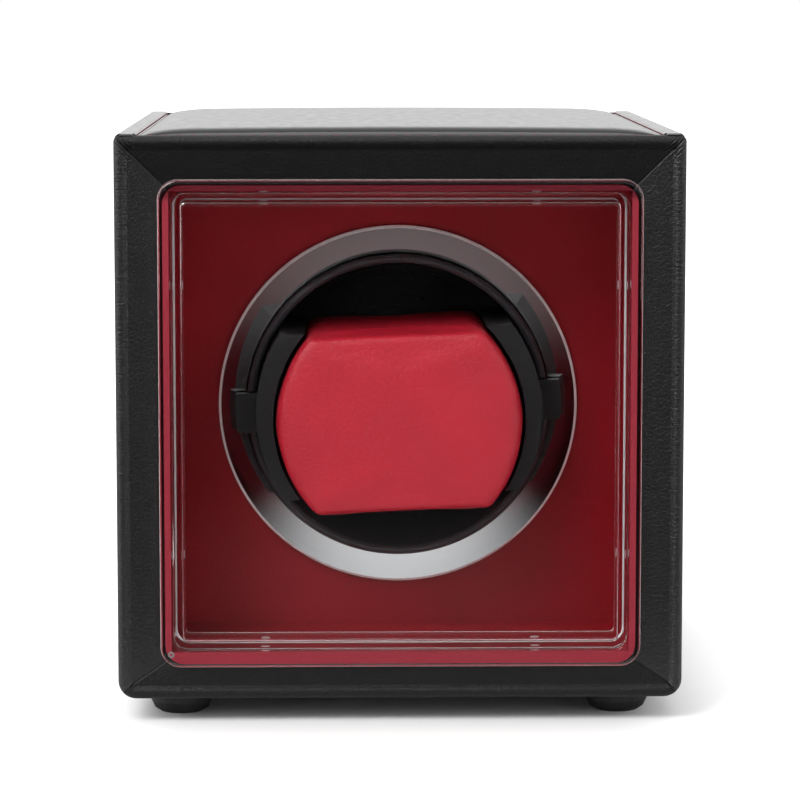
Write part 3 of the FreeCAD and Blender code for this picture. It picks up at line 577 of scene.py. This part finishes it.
def clear_acrylic(name):
    """Clear moulding, whose edges and bumps shine. Lamps and scattered light pass straight through it."""
    look = Look(name)
    x, y, z = look.axes()
    glint = skirt_glint(look, x, y, z)
    shine = look.maths("MAXIMUM", rim_shine(look, x, z), glint)
    rough = look.maths("MULTIPLY", shine, SHINE_ROUGH)
    shader = look.add(
        "BsdfPrincipled",
        {
            "Base Color": look.blend(shine, ACRYLIC_TONE, ACRYLIC_SHINE),
            "Metallic": look.maths("MULTIPLY", glint, GLINT_METAL),
            "Roughness": look.maths("MULTIPLY_ADD", look.noise(14.0, detail=3.0), 0.02, rough),
            "IOR": ACRYLIC_IOR,
            "Transmission Weight": look.maths("MULTIPLY_ADD", shine, -SHINE_CLOUD, 1.0),
            "Normal": look.relief(look.maths("MULTIPLY", look.noise(26.0, detail=1.0), 0.03)),
        },
    )
    through = look.add("BsdfTransparent", {"Color": ACRYLIC_SHADOW})
    path = look.add("LightPath")
    plain = look.maths("MAXIMUM", path.outputs["Is Shadow Ray"], path.outputs["Is Diffuse Ray"])
    mix = look.add("MixShader", {0: plain, 1: shader.outputs["BSDF"], 2: through.outputs["BSDF"]})
    look.show(mix.outputs[0])
    return look.material


def fibreboard(name):
    """Raw board, stained black where it shows in the recess of the back panel."""
    look = Look(name)
    flecks = look.noise(0.5, detail=5.0, roughness=0.7)
    tone = look.blend(flecks, *BOARD_TONES)
    tone = look.blend(look.fade_t(look.axes()[1], STAIN_T), tone, BOARD_STAIN)
    height = look.maths("MULTIPLY", flecks, 0.05)
    look.principled({"Base Color": tone, "Roughness": 0.85, "Normal": look.relief(height)})
    return look.material


def laminate(name):
    """Control board: solder mask with faint tracks under it."""
    look = Look(name)
    tracks = look.add("TexBrick", {"Vector": look.coords, "Scale": 240.0, "Mortar Size": 0.03})
    tone = look.blend(tracks.outputs["Fac"], *MASK_TONES)
    look.principled({"Base Color": tone, "Roughness": 0.35})
    return look.material


def rubber(name, colour):
    look = Look(name)
    height = look.maths("MULTIPLY", look.noise(0.3, detail=3.0), 0.02)
    tone = look.blend(look.noise(5.0), tinted(colour, 0.7), tinted(colour, 1.4))
    look.principled({"Base Color": tone, "Roughness": 0.62, "Normal": look.relief(height)})
    return look.material


def thread(name):
    look = Look(name)
    twist = look.noise(0.35, detail=2.0)
    tone = look.blend(twist, tinted(RED_THREAD, 0.6), RED_THREAD)
    height = look.maths("MULTIPLY", twist, 0.08)
    look.principled({"Base Color": tone, "Roughness": 0.7, "Normal": look.relief(height)})
    return look.material


def screw_steel(name):
    """Blackened steel of the panel screws."""
    look = Look(name)
    grain = look.noise(0.2)
    tone = look.blend(grain, *SCREW_TONES)
    height = look.maths("MULTIPLY", grain, 0.01)
    look.principled({"Base Color": tone, "Metallic": 0.7, "Roughness": 0.34, "Normal": look.relief(height)})
    return look.material


def marked_plastic(name, colour, rough, marks):
    """Moulded plastic with plain printed marks, drawn by a function of the look."""
    look = Look(name)
    height = look.maths("MULTIPLY", look.noise(0.2, detail=2.0), 0.008)
    tone = look.blend(marks(look), moulded_tone(look, colour), MARK_WHITE)
    gloss = look.uneven(rough, size_mm=2.2, spread=0.12)
    look.principled({"Base Color": tone, "Roughness": gloss, "Normal": look.relief(height)})
    return look.material


def knob_pointer(look):
    """Paint in the pointer groove of the knob."""
    x, y, z = look.axes()
    slim = look.fade(look.apart(x, KNOB_X * MM), POINTER_HALF)
    out = look.fade(z, [CONTROL_Z + rise for rise in POINTER_RISE])
    line = look.maths("MULTIPLY", slim, out)
    face = look.maths("MULTIPLY", look.fade_t(y, POINTER_BACK_T), look.fade_t(y, POINTER_FRONT_T))
    return look.maths("MULTIPLY", line, face)


def rocker_marks(look):
    """A bar above and a ring below, for on and off."""
    x, _, z = look.axes()
    rise = look.maths("SUBTRACT", z, CONTROL_Z * MM)
    slim = look.fade(look.maths("ABSOLUTE", x), BAR_HALF_W)
    bar = look.maths("MULTIPLY", slim, look.fade(look.apart(rise, MARK_RISE * MM), BAR_HALF_H))
    reach = look.reach(x, look.maths("ADD", rise, MARK_RISE * MM))
    ring = look.fade(look.apart(reach, CIRCLE_R * MM), CIRCLE_HALF)
    return look.maths("MAXIMUM", bar, ring)


def knob_ticks(look):
    """Four plain ticks on the back panel, over the quarter turn of the knob."""
    x, y, z = look.axes()
    across = look.maths("SUBTRACT", x, KNOB_X * MM)
    rise = look.maths("SUBTRACT", z, CONTROL_Z * MM)
    angle = look.maths("ARCTAN2", across, rise)
    band = look.fade(look.apart(look.reach(across, rise), TICK_R * MM), TICK_HALF)
    wave = look.maths("SINE", look.maths("MULTIPLY", angle, TICK_RATE))
    slim = look.ramp(look.maths("ABSOLUTE", wave), *TICK_WAVE)
    turn = look.ramp(look.apart(angle, TICK_MIDDLE), *TICK_SPREAD)
    place = look.maths("MULTIPLY", turn, look.fade_t(y, TICK_T))
    return look.maths("MULTIPLY", look.maths("MULTIPLY", band, slim), place)


def dress(names, material):
    for name in names:
        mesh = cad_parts[name].data
        mesh.materials.clear()
        mesh.materials.append(material)


def add_object(name, data):
    made = bpy.data.objects.new(name, data)
    bpy.context.scene.collection.objects.link(made)
    return made


def mesh_from(name, made):
    """Mesh of a bmesh, which is freed."""
    mesh = bpy.data.meshes.new(name)
    made.to_mesh(mesh)
    made.free()
    return mesh


def new_piece(name, mesh, material, body):
    piece = add_object(name, mesh)
    mesh.materials.clear()
    mesh.materials.append(material)
    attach(piece, body)
    return piece


def smooth(mesh):
    for face in mesh.polygons:
        face.use_smooth = True


def evaluated_mesh(piece):
    graph = bpy.context.evaluated_depsgraph_get()
    return bpy.data.meshes.new_from_object(piece.evaluated_get(graph), depsgraph=graph)


def with_modifier(mesh, kind, **settings):
    """The mesh that a single modifier makes of this one."""
    holder = add_object("holder", mesh)
    modifier = holder.modifiers.new(kind, kind)
    for key, value in settings.items():
        setattr(modifier, key, value)
    made = evaluated_mesh(holder)
    bpy.data.objects.remove(holder)
    return made


def loft(name, rings, hoop=False):
    """Closed mesh through rings of points: both ends are filled, or joined to each other as a hoop."""
    made = bmesh.new()
    rows = [[made.verts.new(p) for p in ring] for ring in rings]
    count = len(rows[0])
    follow = rows[1:] + rows[:1] if hoop else rows[1:]
    for a, b in zip(rows, follow):
        for i in range(count):
            j = (i + 1) % count
            made.faces.new((a[i], a[j], b[j], b[i]))
    if not hoop:
        made.faces.new(list(reversed(rows[0])))
        made.faces.new(rows[-1])
    bmesh.ops.recalc_face_normals(made, faces=made.faces)
    return mesh_from(name, made)


def pillow_ring(scale, t, steps=14):
    """Outline of the pillow at a depth: straight top and bottom, bowed sides, in millimetres."""
    half_h = PILLOW_HALF_H * scale
    radius = PILLOW_SIDE_R * scale
    centre = PILLOW_HALF_W * scale - radius
    sweep = math.asin(half_h / radius)
    ring = []
    for side in (1, -1):
        for step in range(steps + 1):
            angle = side * sweep * (2 * step / steps - 1)
            x = side * (centre + radius * math.cos(angle))
            ring.append((x, t, radius * math.sin(angle)))
    return ring


def inflate(mesh, pressure, cap, frames=20, grow=10.0, even=8):
    """Cloth swelled by inner pressure for a short while; moves are evened out and kept within cap."""
    start = [v.co.copy() for v in mesh.vertices]
    for v in mesh.vertices:
        v.co *= grow
    holder = add_object("inflating", mesh)
    cloth = holder.modifiers.new("Cloth", "CLOTH")
    cloth.settings.use_pressure = True
    cloth.settings.uniform_pressure_force = pressure
    cloth.settings.effector_weights.gravity = 0.0
    cloth.settings.tension_stiffness = CLOTH_STIFF
    cloth.settings.compression_stiffness = CLOTH_STIFF
    cloth.settings.bending_stiffness = CLOTH_BEND
    cloth.settings.quality = CLOTH_QUALITY
    cloth.point_cache.frame_start = 1
    cloth.point_cache.frame_end = frames
    for number in range(1, frames + 1):
        bpy.context.scene.frame_set(number)
    swollen = evaluated_mesh(holder)
    bpy.context.scene.frame_set(1)
    bpy.data.objects.remove(holder)
    moves = [v.co / grow - before for before, v in zip(start, swollen.vertices)]
    for _ in range(even):
        sums = [move.copy() for move in moves]
        counts = [1] * len(moves)
        for edge in swollen.edges:
            a, b = edge.vertices
            sums[a] += moves[b]
            sums[b] += moves[a]
            counts[a] += 1
            counts[b] += 1
        moves = [total / count for total, count in zip(sums, counts)]
    for before, move, v in zip(start, moves, swollen.vertices):
        v.co = before + move * min(1.0, cap / max(move.length, 1e-9))
    return swollen


def build_pillow(material):
    """Pillow: the leatherette cover is inflated over the barrel form, and kept inside the end caps."""
    stations = [(PILLOW_FRONT_T + PILLOW_INSET + t, s) for t, s in PILLOW_PROFILE]
    stations += [(PILLOW_BACK_T - PILLOW_INSET - t, s) for t, s in reversed(PILLOW_PROFILE)]
    rings = [[Vector(p) * MM for p in pillow_ring(s, t)] for t, s in stations]
    mesh = with_modifier(loft("pillow", rings), "REMESH", mode="VOXEL", voxel_size=PILLOW_VOXEL * MM)
    mesh = inflate(mesh, pressure=PILLOW_PRESSURE, cap=PILLOW_SWELL * MM)
    turn = Matrix.Rotation(-PARK_TURN, 4, "Y")
    high = PILLOW_HALF_H + PILLOW_ROOM_Z
    for v in mesh.vertices:
        x, t, z = (c / MM for c in v.co)
        z = max(-high, min(high, z))
        t = max(PILLOW_FRONT_T - PILLOW_ROOM_T, min(PILLOW_BACK_T + PILLOW_ROOM_T, t))
        room = PILLOW_ROOM_X
        if CAP_T[0] < t < CAP_T[1] and abs(z - PILLOW_SAG) < CAP_HALF:
            room = -PILLOW_CAP_GAP
        bow = PILLOW_HALF_W - PILLOW_SIDE_R + math.sqrt(PILLOW_SIDE_R**2 - z**2) + room
        x = max(-bow, min(bow, x))
        v.co = turn @ Vector((x, depth(t), z - PILLOW_SAG)) * MM + Vector((0, 0, AXIS_Z * MM))
    smooth(mesh)
    piece = new_piece("pillow", mesh, material, "pillow")
    piece.modifiers.new("Subdivision", "SUBSURF").render_levels = 1
    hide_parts("pillow_cushion")


def spread(share):
    """Shares of a length, closer together towards its ends."""
    return 0.5 - 0.5 * math.cos(math.pi * share)


def fullness(distance, roll):
    """How full the pad is at this distance from an edge."""
    k = min(1.0, max(0.0, distance / roll))
    return math.sqrt(max(0.0, 1 - (1 - k) ** PAD_ROLL_POWER))


def pad_height(x, t, half):
    """Top of the pad, rolled down to its seams, with small puckers there."""
    side = half - abs(x)
    end = min(t - PAD_T[0], PAD_T[1] - t)
    full = fullness(side, PAD_SIDE_ROLL) * fullness(end, PAD_END_ROLL)
    pucker = math.sin(t * PUCKER_RATE) * math.exp(-side / PUCKER_REACH)
    pucker += math.sin(x * PUCKER_RATE) * math.exp(-end / PUCKER_REACH)
    arch = PAD_ARCH * (1 - (x / half) ** 2)
    z = PAD_EDGE_Z + (PAD_CROWN_Z - PAD_ARCH - PAD_EDGE_Z + arch) * full
    return z + PUCKER_DEPTH * pucker * min(1.0, side / PUCKER_START, end / PUCKER_START)


def build_pad(material):
    """Padded top: full over most of its area, with upright sides below its rolled edges."""
    columns, rows = PAD_GRID
    half = PAD_HALF_W - PAD_GAP
    length = PAD_T[1] - PAD_T[0]
    made = bmesh.new()
    top = []
    for row in range(rows + 1):
        t = PAD_T[0] + PAD_GAP + (length - 2 * PAD_GAP) * spread(row / rows)
        across = [half * (2 * spread(column / columns) - 1) for column in range(columns + 1)]
        top.append([made.verts.new(point(x, t, pad_height(x, t, half))) for x in across])
    for a, b in zip(top, top[1:]):
        for i in range(columns):
            made.faces.new((a[i], a[i + 1], b[i + 1], b[i]))
    border = top[0][:-1] + [line[-1] for line in top[:-1]]
    border += top[-1][:0:-1] + [line[0] for line in top[:0:-1]]
    low = [made.verts.new((v.co.x, v.co.y, PAD_BASE_Z * MM)) for v in border]
    for i in range(len(border)):
        j = (i + 1) % len(border)
        made.faces.new((border[i], low[i], low[j], border[j]))
    made.faces.new(low)
    bmesh.ops.recalc_face_normals(made, faces=made.faces)
    mesh = mesh_from("padded_top", made)
    smooth(mesh)
    piece = new_piece("padded_top", mesh, material, "case")
    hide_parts("top_pad")


def rounded_ring(half_x, low, high, low_r, high_r, t, steps=8, straight=1):
    """Rounded rectangle seen from the front, from the middle of its upper right corner round to the left."""
    corners = ((1, high, high_r), (-1, high, high_r), (-1, low, low_r), (1, low, low_r))
    arcs = []
    for number, (side, level, radius) in enumerate(corners):
        centre_x = side * (half_x - radius)
        centre_z = level - radius if level == high else level + radius
        angles = [math.pi / 2 * (number + step / steps) for step in range(steps + 1)]
        spokes = [(radius * math.cos(angle), radius * math.sin(angle)) for angle in angles]
        arcs.append([point(centre_x + across, t, centre_z + rise) for across, rise in spokes])
    ring = []
    half = steps // 2
    for arc, after in zip(arcs, arcs[1:] + arcs[:1]):
        ring += arc[half:]
        ring += [arc[-1].lerp(after[0], step / straight) for step in range(1, straight)]
        ring += after[:half]
    return ring


def quarter(centre, radius, start, end, steps=5):
    """Points of a rounded edge in inset and depth, by its start and end angles in degrees."""
    made = []
    for step in range(steps + 1):
        angle = math.radians(start + (end - start) * step / steps)
        made.append((centre[0] + radius * math.cos(angle), centre[1] + radius * math.sin(angle)))
    return made


def dome(centre, out, spokes=14, steps=5):
    """Low round bump on the skirt."""
    turn = Vector((0, 0, 1)).rotation_difference(out).to_matrix()
    angles = [2 * math.pi * spoke / spokes for spoke in range(spokes)]
    rings = []
    for step in range(steps + 1):
        rise = math.radians(BUMP_SWEEP * step / steps)
        reach = BUMP_R * math.cos(rise)
        height = BUMP_PROUD * math.sin(rise) + BUMP_LIFT
        ring = [Vector((reach * math.cos(angle), reach * math.sin(angle), height)) for angle in angles]
        rings.append([centre + turn @ place * MM for place in ring])
    return loft("dome", rings)


def cover_section():
    """Sections of the plate and of the skirt, each in inset from its outline and depth."""
    end_t = SKIRT_DEPTH - SKIRT_END_R
    inner = SKIRT_WALL + SKIRT_INNER_R
    plate = [(COVER_EDGE_R + ROUND_HOLD, -COVER_T)]
    plate += quarter((COVER_EDGE_R, COVER_EDGE_R - COVER_T), COVER_EDGE_R, -90, -180)
    plate += quarter((COVER_BACK_R, -COVER_BACK_R), COVER_BACK_R, 180, 90, 3)
    plate += [(COVER_BACK_R + ROUND_HOLD, 0.0)]
    skirt = [(-SKIRT_ROOT_R - ROUND_HOLD, 0.0)]
    skirt += quarter((-SKIRT_ROOT_R, SKIRT_ROOT_R), SKIRT_ROOT_R, -90, 0)
    skirt += [(0.0, SKIRT_ROOT_R + ROUND_HOLD), (0.0, end_t - ROUND_HOLD)]
    skirt += quarter((SKIRT_END_R, end_t), SKIRT_END_R, 180, 90, 4)
    skirt += quarter((SKIRT_WALL - SKIRT_END_R, end_t), SKIRT_END_R, 90, 0, 4)
    skirt += [(SKIRT_WALL, end_t - ROUND_HOLD), (SKIRT_WALL, SKIRT_INNER_R + ROUND_HOLD)]
    skirt += quarter((inner, SKIRT_INNER_R), SKIRT_INNER_R, 180, 270)
    skirt += [(inner + ROUND_HOLD, 0.0)]
    return plate, skirt


def build_cover(material):
    """Clear cover: plate with rounded edges, inset skirt with rounded root and end, eight bumps."""
    skirt_x, skirt_z = SKIRT_HALF
    plate, skirt = cover_section()
    rings = []
    for inset, t in plate:
        corner_r = COVER_CORNER_R - inset
        low, high = COVER_Z[0] + inset, COVER_Z[1] - inset
        rings.append(rounded_ring(COVER_HALF_X - inset, low, high, corner_r, corner_r, t))
    for inset, t in skirt:
        corner_r = min(SKIRT_CORNER_R, max(SKIRT_LEAST_R, SKIRT_CORNER_R - inset))
        low, high = AXIS_Z - skirt_z + inset, AXIS_Z + skirt_z - inset
        rings.append(rounded_ring(skirt_x - inset, low, high, corner_r, corner_r, t))
    made = bmesh.new()
    made.from_mesh(loft("cover", rings))
    for along in (-BUMP_OFFSET, BUMP_OFFSET):
        for sign in (-1, 1):
            made.from_mesh(dome(point(sign * skirt_x, BUMP_T, AXIS_Z + along), Vector((sign, 0, 0))))
            made.from_mesh(dome(point(along, BUMP_T, AXIS_Z + sign * skirt_z), Vector((0, 0, sign))))
    mesh = mesh_from("clear_cover", made)
    smooth(mesh)
    piece = new_piece("clear_cover", mesh, material, "cover")
    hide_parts("front_cover")


def build_rails(upright, level):
    """Leatherette frame: rings of one soft section, parted into four rails at the mitred corners."""
    sections = [(u, 0.0, t) for u, t in RAIL_PROFILE] + [(FACE_U, share, t) for share, t in FACE_PROFILE]
    rings = []
    for u, share, t in sections:
        half_x = CASE_HALF_W - (u + share * FACE_SIDE)
        low = CASE_BOTTOM_Z + (u + share * FACE_LOW)
        high = CASE_TOP_Z - (u + share * FACE_HIGH)
        turn = RAIL_OPEN_R * max(0.0, share - OPEN_TURN_START) / OPEN_TURN_SPAN
        low_r = max(CORNER_LEAST_R, CORNER_BOTTOM_R - u, turn)
        high_r = max(CORNER_LEAST_R, CORNER_TOP_R - u, turn)
        rings.append(rounded_ring(half_x, low, high, low_r, high_r, t, straight=RAIL_STRAIGHT))
    quarter_turn = len(rings[0]) // 4
    for number, name in enumerate(("top", "left", "bottom", "right")):
        first = number * quarter_turn
        picks = [(first + step) % len(rings[0]) for step in range(quarter_turn + 1)]
        mesh = loft("rail", [[ring[pick] for ring in rings] for pick in picks])
        for face in mesh.polygons:
            face.use_smooth = len(face.vertices) == 4
        material = upright if name in ("left", "right") else level
        piece = new_piece("rail_" + name, mesh, material, "case")
        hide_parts("frame_rail_" + name)


def build_gate_mark(material):
    """Round mark that the moulding gate left near a lower corner of the cover."""
    x, z = GATE_PLACE
    inner, outer = GATE_R
    front_t, back_t = GATE_T
    angles = [2 * math.pi * step / GATE_STEPS for step in range(GATE_STEPS)]
    rings = []
    for radius, t in ((inner, front_t), (outer, front_t), (outer, back_t), (inner, back_t)):
        rings.append([point(x + radius * math.cos(a), t, z + radius * math.sin(a)) for a in angles])
    mesh = loft("gate_mark", rings, hoop=True)
    new_piece("gate_mark", mesh, material, "cover")


def cross(centre, y, long, thin):
    """Outline of a cross recess at a height along the screw, in metres."""
    corner = ((thin, long), (thin, thin), (long, thin))
    outline = []
    for turn in range(4):
        for x, z in corner:
            for _ in range(turn):
                x, z = z, -x
            outline.append(Vector((centre[0] + x * MM, y, centre[1] + z * MM)))
    return outline


def build_screws(material):
    """Screws of the back panel, with a cross recess cut into each head."""
    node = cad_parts["back_screws"]
    made = bmesh.new()
    made.from_mesh(node.data)
    bmesh.ops.remove_doubles(made, verts=made.verts, dist=0.001 * MM)
    made.verts.index_update()
    places = [node.matrix_world @ v.co for v in made.verts]
    plain = bpy.data.meshes.new("plain_screws")
    plain.from_pydata(places, [], [[v.index for v in face.verts] for face in made.faces])
    made.free()
    head_y = max(place.y for place in places)
    made = bmesh.new()
    for side in (-1, 1):
        for level in (-1, 1):
            centre = (side * SCREW_X * MM, (AXIS_Z + level * SCREW_RISE) * MM)
            ends = zip((head_y - RECESS_DEPTH * MM, head_y + MM), RECESS_LONG, RECESS_THIN)
            made.from_mesh(loft("recess", [cross(centre, y, long, thin) for y, long, thin in ends]))
    cutter = add_object("cutter", mesh_from("recesses", made))
    mesh = with_modifier(plain, "BOOLEAN", object=cutter, operation="DIFFERENCE", solver="EXACT")
    bpy.data.objects.remove(cutter)
    smooth(mesh)
    mesh.set_sharp_from_angle(angle=SHARP_ANGLE)
    piece = new_piece("panel_screws", mesh, material, "case")
    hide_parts("back_screws")


def build_stitches(material):
    """Thread along the seams of the padded top: on the shoulders of both strips and behind the front lip."""
    shoulder = STRIP_EDGE_R * (1 - math.sqrt(0.5))
    x = PAD_HALF_W + shoulder
    z = STRIP_TOP_Z - shoulder
    front_x = PAD_HALF_W - FRONT_SEAM_END
    front_z = CASE_TOP_Z - STITCH_R / 2
    rows = []
    for side in (-1, 1):
        rows.append((point(side * x, PAD_T[0] + SEAM_END, z), point(side * x, PAD_T[1] - SEAM_END, z)))
    rows.append((point(-front_x, FRONT_SEAM_T, front_z), point(front_x, FRONT_SEAM_T, front_z)))
    size = Matrix.Diagonal((STITCH_LENGTH / 2 * MM, STITCH_R * MM, STITCH_R * MM, 1.0))
    made = bmesh.new()
    for start, end in rows:
        run = end - start
        count = int(run.length / (STITCH_PITCH * MM))
        turn = Vector((1, 0, 0)).rotation_difference(run).to_matrix().to_4x4()
        for number in range(count + 1):
            place = Matrix.Translation(start + run * number / count)
            bmesh.ops.create_icosphere(made, subdivisions=2, radius=1.0, matrix=place @ turn @ size)
    mesh = mesh_from("pad_stitches", made)
    smooth(mesh)
    new_piece("pad_stitches", mesh, material, "case")


def area_lamp(name, place, target, size, power):
    data = bpy.data.lights.new(name, "AREA")
    data.shape = "RECTANGLE"
    data.size, data.size_y = size
    data.energy = power
    lamp = add_object(name, data)
    lamp.location = place
    lamp.rotation_euler = (Vector(target) - Vector(place)).to_track_quat("-Z", "Y").to_euler()


def plane(name, corners, material):
    mesh = bpy.data.meshes.new(name)
    mesh.from_pydata(corners, [], [(0, 1, 2, 3)])
    mesh.materials.append(material)
    made = add_object(name, mesh)
    return made


def white_floor():
    """Pale floor. It keeps its shade near the box and fades to the white of the backdrop away from it."""
    look = Look("studio_floor")
    matt = look.add("BsdfDiffuse", {"Color": look.blend(look.noise(40.0), *FLOOR_TONES)})
    x, y, _ = look.axes()
    before = look.maths("MULTIPLY", look.past(y, SHADE_HALF[1]), SHADE_FRONT)
    away = look.reach(look.past(x, SHADE_HALF[0]), before)
    glow = look.maths("ADD", look.ramp(away, *GLOW_NEAR), look.ramp(away, *GLOW_FAR))
    lift = look.maths("MULTIPLY", look.add("LightPath").outputs["Is Camera Ray"], glow)
    light = look.add("Emission", {"Color": (1, 1, 1, 1), "Strength": lift})
    both = look.add("AddShader", {0: matt.outputs["BSDF"], 1: light.outputs["Emission"]})
    look.show(both.outputs[0])
    far = FLOOR_HALF
    plane("floor", [(-far, -far, 0), (far, -far, 0), (far, far, 0), (-far, far, 0)], look.material)


def floor_glow(look):
    """Light of the floor card: a soft patch before the middle of the box."""
    x, y, _ = look.axes()
    near = look.ramp(y, *FLOOR_CARD_NEAR)
    return look.maths("MULTIPLY", near, look.ramp(look.maths("ABSOLUTE", x), *FLOOR_CARD_HALF))


def front_glow(look):
    """Light of the front card: dark at the floor, brightest a little above it, dimmer higher up."""
    z = look.axes()[2]
    return look.maths("MULTIPLY", look.ramp(z, *FRONT_CARD_LOW), look.ramp(z, *FRONT_CARD_HIGH))


def back_glow(look):
    """Light of the card behind and above: as bright as the backdrop at its foot, dim higher up."""
    return look.ramp(look.axes()[2], *BACK_CARD_HIGH)


def flag(name, corners, light):
    """Card that only reflections meet, with its light drawn by a function of the look."""
    look = Look(name)
    glow = look.add("Emission", {"Strength": light(look)})
    mirrored = look.maths("MINIMUM", look.add("LightPath").outputs["Glossy Depth"], 1.0)
    unseen = look.add("BsdfTransparent")
    mix = look.add("MixShader", {0: mirrored, 1: unseen.outputs["BSDF"], 2: glow.outputs["Emission"]})
    look.show(mix.outputs[0])
    card = plane(name, corners, look.material)
    card.visible_camera = False
    card.visible_diffuse = False
    card.visible_shadow = False


def backdrop():
    """World: white where the camera, mirrors and glass see it, and a plain fill for the rest."""
    world = bpy.data.worlds.new("studio")
    bpy.context.scene.world = world
    world.use_nodes = True
    tree = world.node_tree
    tree.nodes.clear()
    out = tree.nodes.new("ShaderNodeOutputWorld")
    light = tree.nodes.new("ShaderNodeBackground")
    path = tree.nodes.new("ShaderNodeLightPath")
    seen = path.outputs["Is Camera Ray"]
    for kind in ("Is Glossy Ray", "Is Transmission Ray"):
        most = tree.nodes.new("ShaderNodeMath")
        most.operation = "MAXIMUM"
        tree.links.new(seen, most.inputs[0])
        tree.links.new(path.outputs[kind], most.inputs[1])
        seen = most.outputs[0]
    strength = tree.nodes.new("ShaderNodeMapRange")
    strength.inputs["To Min"].default_value = WORLD_FILL
    strength.inputs["To Max"].default_value = 1.0
    tree.links.new(seen, strength.inputs["Value"])
    tree.links.new(strength.outputs["Result"], light.inputs["Strength"])
    light.inputs["Color"].default_value = (1, 1, 1, 1)
    tree.links.new(light.outputs["Background"], out.inputs["Surface"])


def card_corners(first, second):
    """Corners of a card across the studio, between two edges in Y and Z."""
    left = [(-CARD_HALF_W, *edge) for edge in (first, second)]
    right = [(CARD_HALF_W, *edge) for edge in (first, second)]
    return [left[0], right[0], right[1], left[1]]


def studio():
    backdrop()
    white_floor()
    front_foot = (CARD_FRONT_Y, CARD_LOW)
    flag("front_flag", card_corners(front_foot, (CARD_FRONT_Y, CARD_FRONT_TOP)), front_glow)
    flag("floor_flag", card_corners(front_foot, (CARD_NEAR_Y, CARD_LOW)), floor_glow)
    flag("back_flag", card_corners((CARD_REAR_Y, CARD_LOW), (CARD_REAR_Y, CARD_REAR_TOP)), back_glow)
    for lamp in LAMPS:
        area_lamp(*lamp)


def camera():
    data = bpy.data.cameras.new("camera")
    data.sensor_width = EYE_SENSOR
    data.lens = EYE_LENS
    data.shift_y = EYE_SHIFT
    data.clip_start = EYE_NEAR
    eye = add_object("camera", data)
    eye.location = EYE_PLACE
    eye.rotation_euler = (math.radians(90.0 - EYE_DOWN), 0.0, math.radians(EYE_TURN))
    bpy.context.scene.camera = eye


def dress_nodes():
    """Materials of the CAD nodes that show as they are."""
    black = leather("black_leatherette", BLACK_LEATHER, WRAP_FINISH)
    strip = leather("strip_leather", BLACK_LEATHER, STRIP_FINISH)
    red = leather("red_leatherette", RED_PANEL, PANEL_FINISH, liner_edges_and_shade)
    steel = brushed_metal("steel", PLAIN_STEEL, rough=0.32, along=(1, 30, 1))
    moulded = plastic("black_moulding", BLACK_MOULDING, rough=0.38)
    natural = plastic("gear_plastic", GEAR_PLASTIC, rough=0.4)
    dress(["outer_wrap", "rear_trim"], black)
    dress(["top_strip_left", "top_strip_right"], strip)
    dress(["liner_left", "liner_right", "liner_bottom", "liner_top", "mount_panel"], red)
    dress(["trim_ring"], mirror_ring("mirror_trim"))
    dress(["drive_cup"], plastic("cup_plastic", CUP_PLASTIC, rough=0.3, grain=0.001, extra=rounded_lip))
    dress(["pillow_cap_left", "pillow_cap_right", "pillow_core", "motor_end_cap"], moulded)
    dress(["power_inlet", "rocker_housing", "selector_switch"], moulded)
    dress(["back_panel"], marked_plastic("panel_plastic", BACK_PLASTIC, rough=0.5, marks=knob_ticks))
    dress(["mode_knob"], marked_plastic("knob_plastic", BACK_PLASTIC, rough=0.36, marks=knob_pointer))
    dress(["power_rocker"], marked_plastic("rocker_plastic", BACK_PLASTIC, rough=0.2, marks=rocker_marks))
    dress(["cup_gear", "drive_pinion", "front_plate", "rear_plate", "plate_posts", "plate_spacers"], natural)
    dress(["cup_shaft", "output_shaft", "cup_screw", "stack_screws", "motor_screws"], steel)
    dress(["gearbox_case", "motor_can", "selector_shaft", "inlet_pin"], steel)
    boards = ["side_board_left", "side_board_right", "bottom_board", "top_board", "corner_blocks"]
    dress(boards, fibreboard("fibreboard"))
    dress(["control_board"], laminate("laminate"))
    dress(["motor_lead"], rubber("lead_sheath", LEAD_BLACK))
    dress(["feet"], rubber("foot_rubber", FOOT_BLACK))


def main():
    bpy.context.scene.view_settings.view_transform = "Standard"
    dress_nodes()
    upright = leather("rail_leather_upright", BLACK_LEATHER, UPRIGHT_FINISH, rail_extra(upright=True))
    level = leather("rail_leather_level", BLACK_LEATHER, LEVEL_FINISH, rail_extra(upright=False))
    build_cover(clear_acrylic("clear_acrylic"))
    build_gate_mark(plastic("gate_mark", GATE_GREY, rough=0.5))
    build_rails(upright, level)
    build_pillow(leather("red_pillow_leather", RED_PILLOW, PILLOW_FINISH))
    build_pad(leather("pad_leather", BLACK_LEATHER, PAD_FINISH))
    build_stitches(thread("red_thread"))
    build_screws(screw_steel("screw_steel"))
    studio()
    camera()


main()
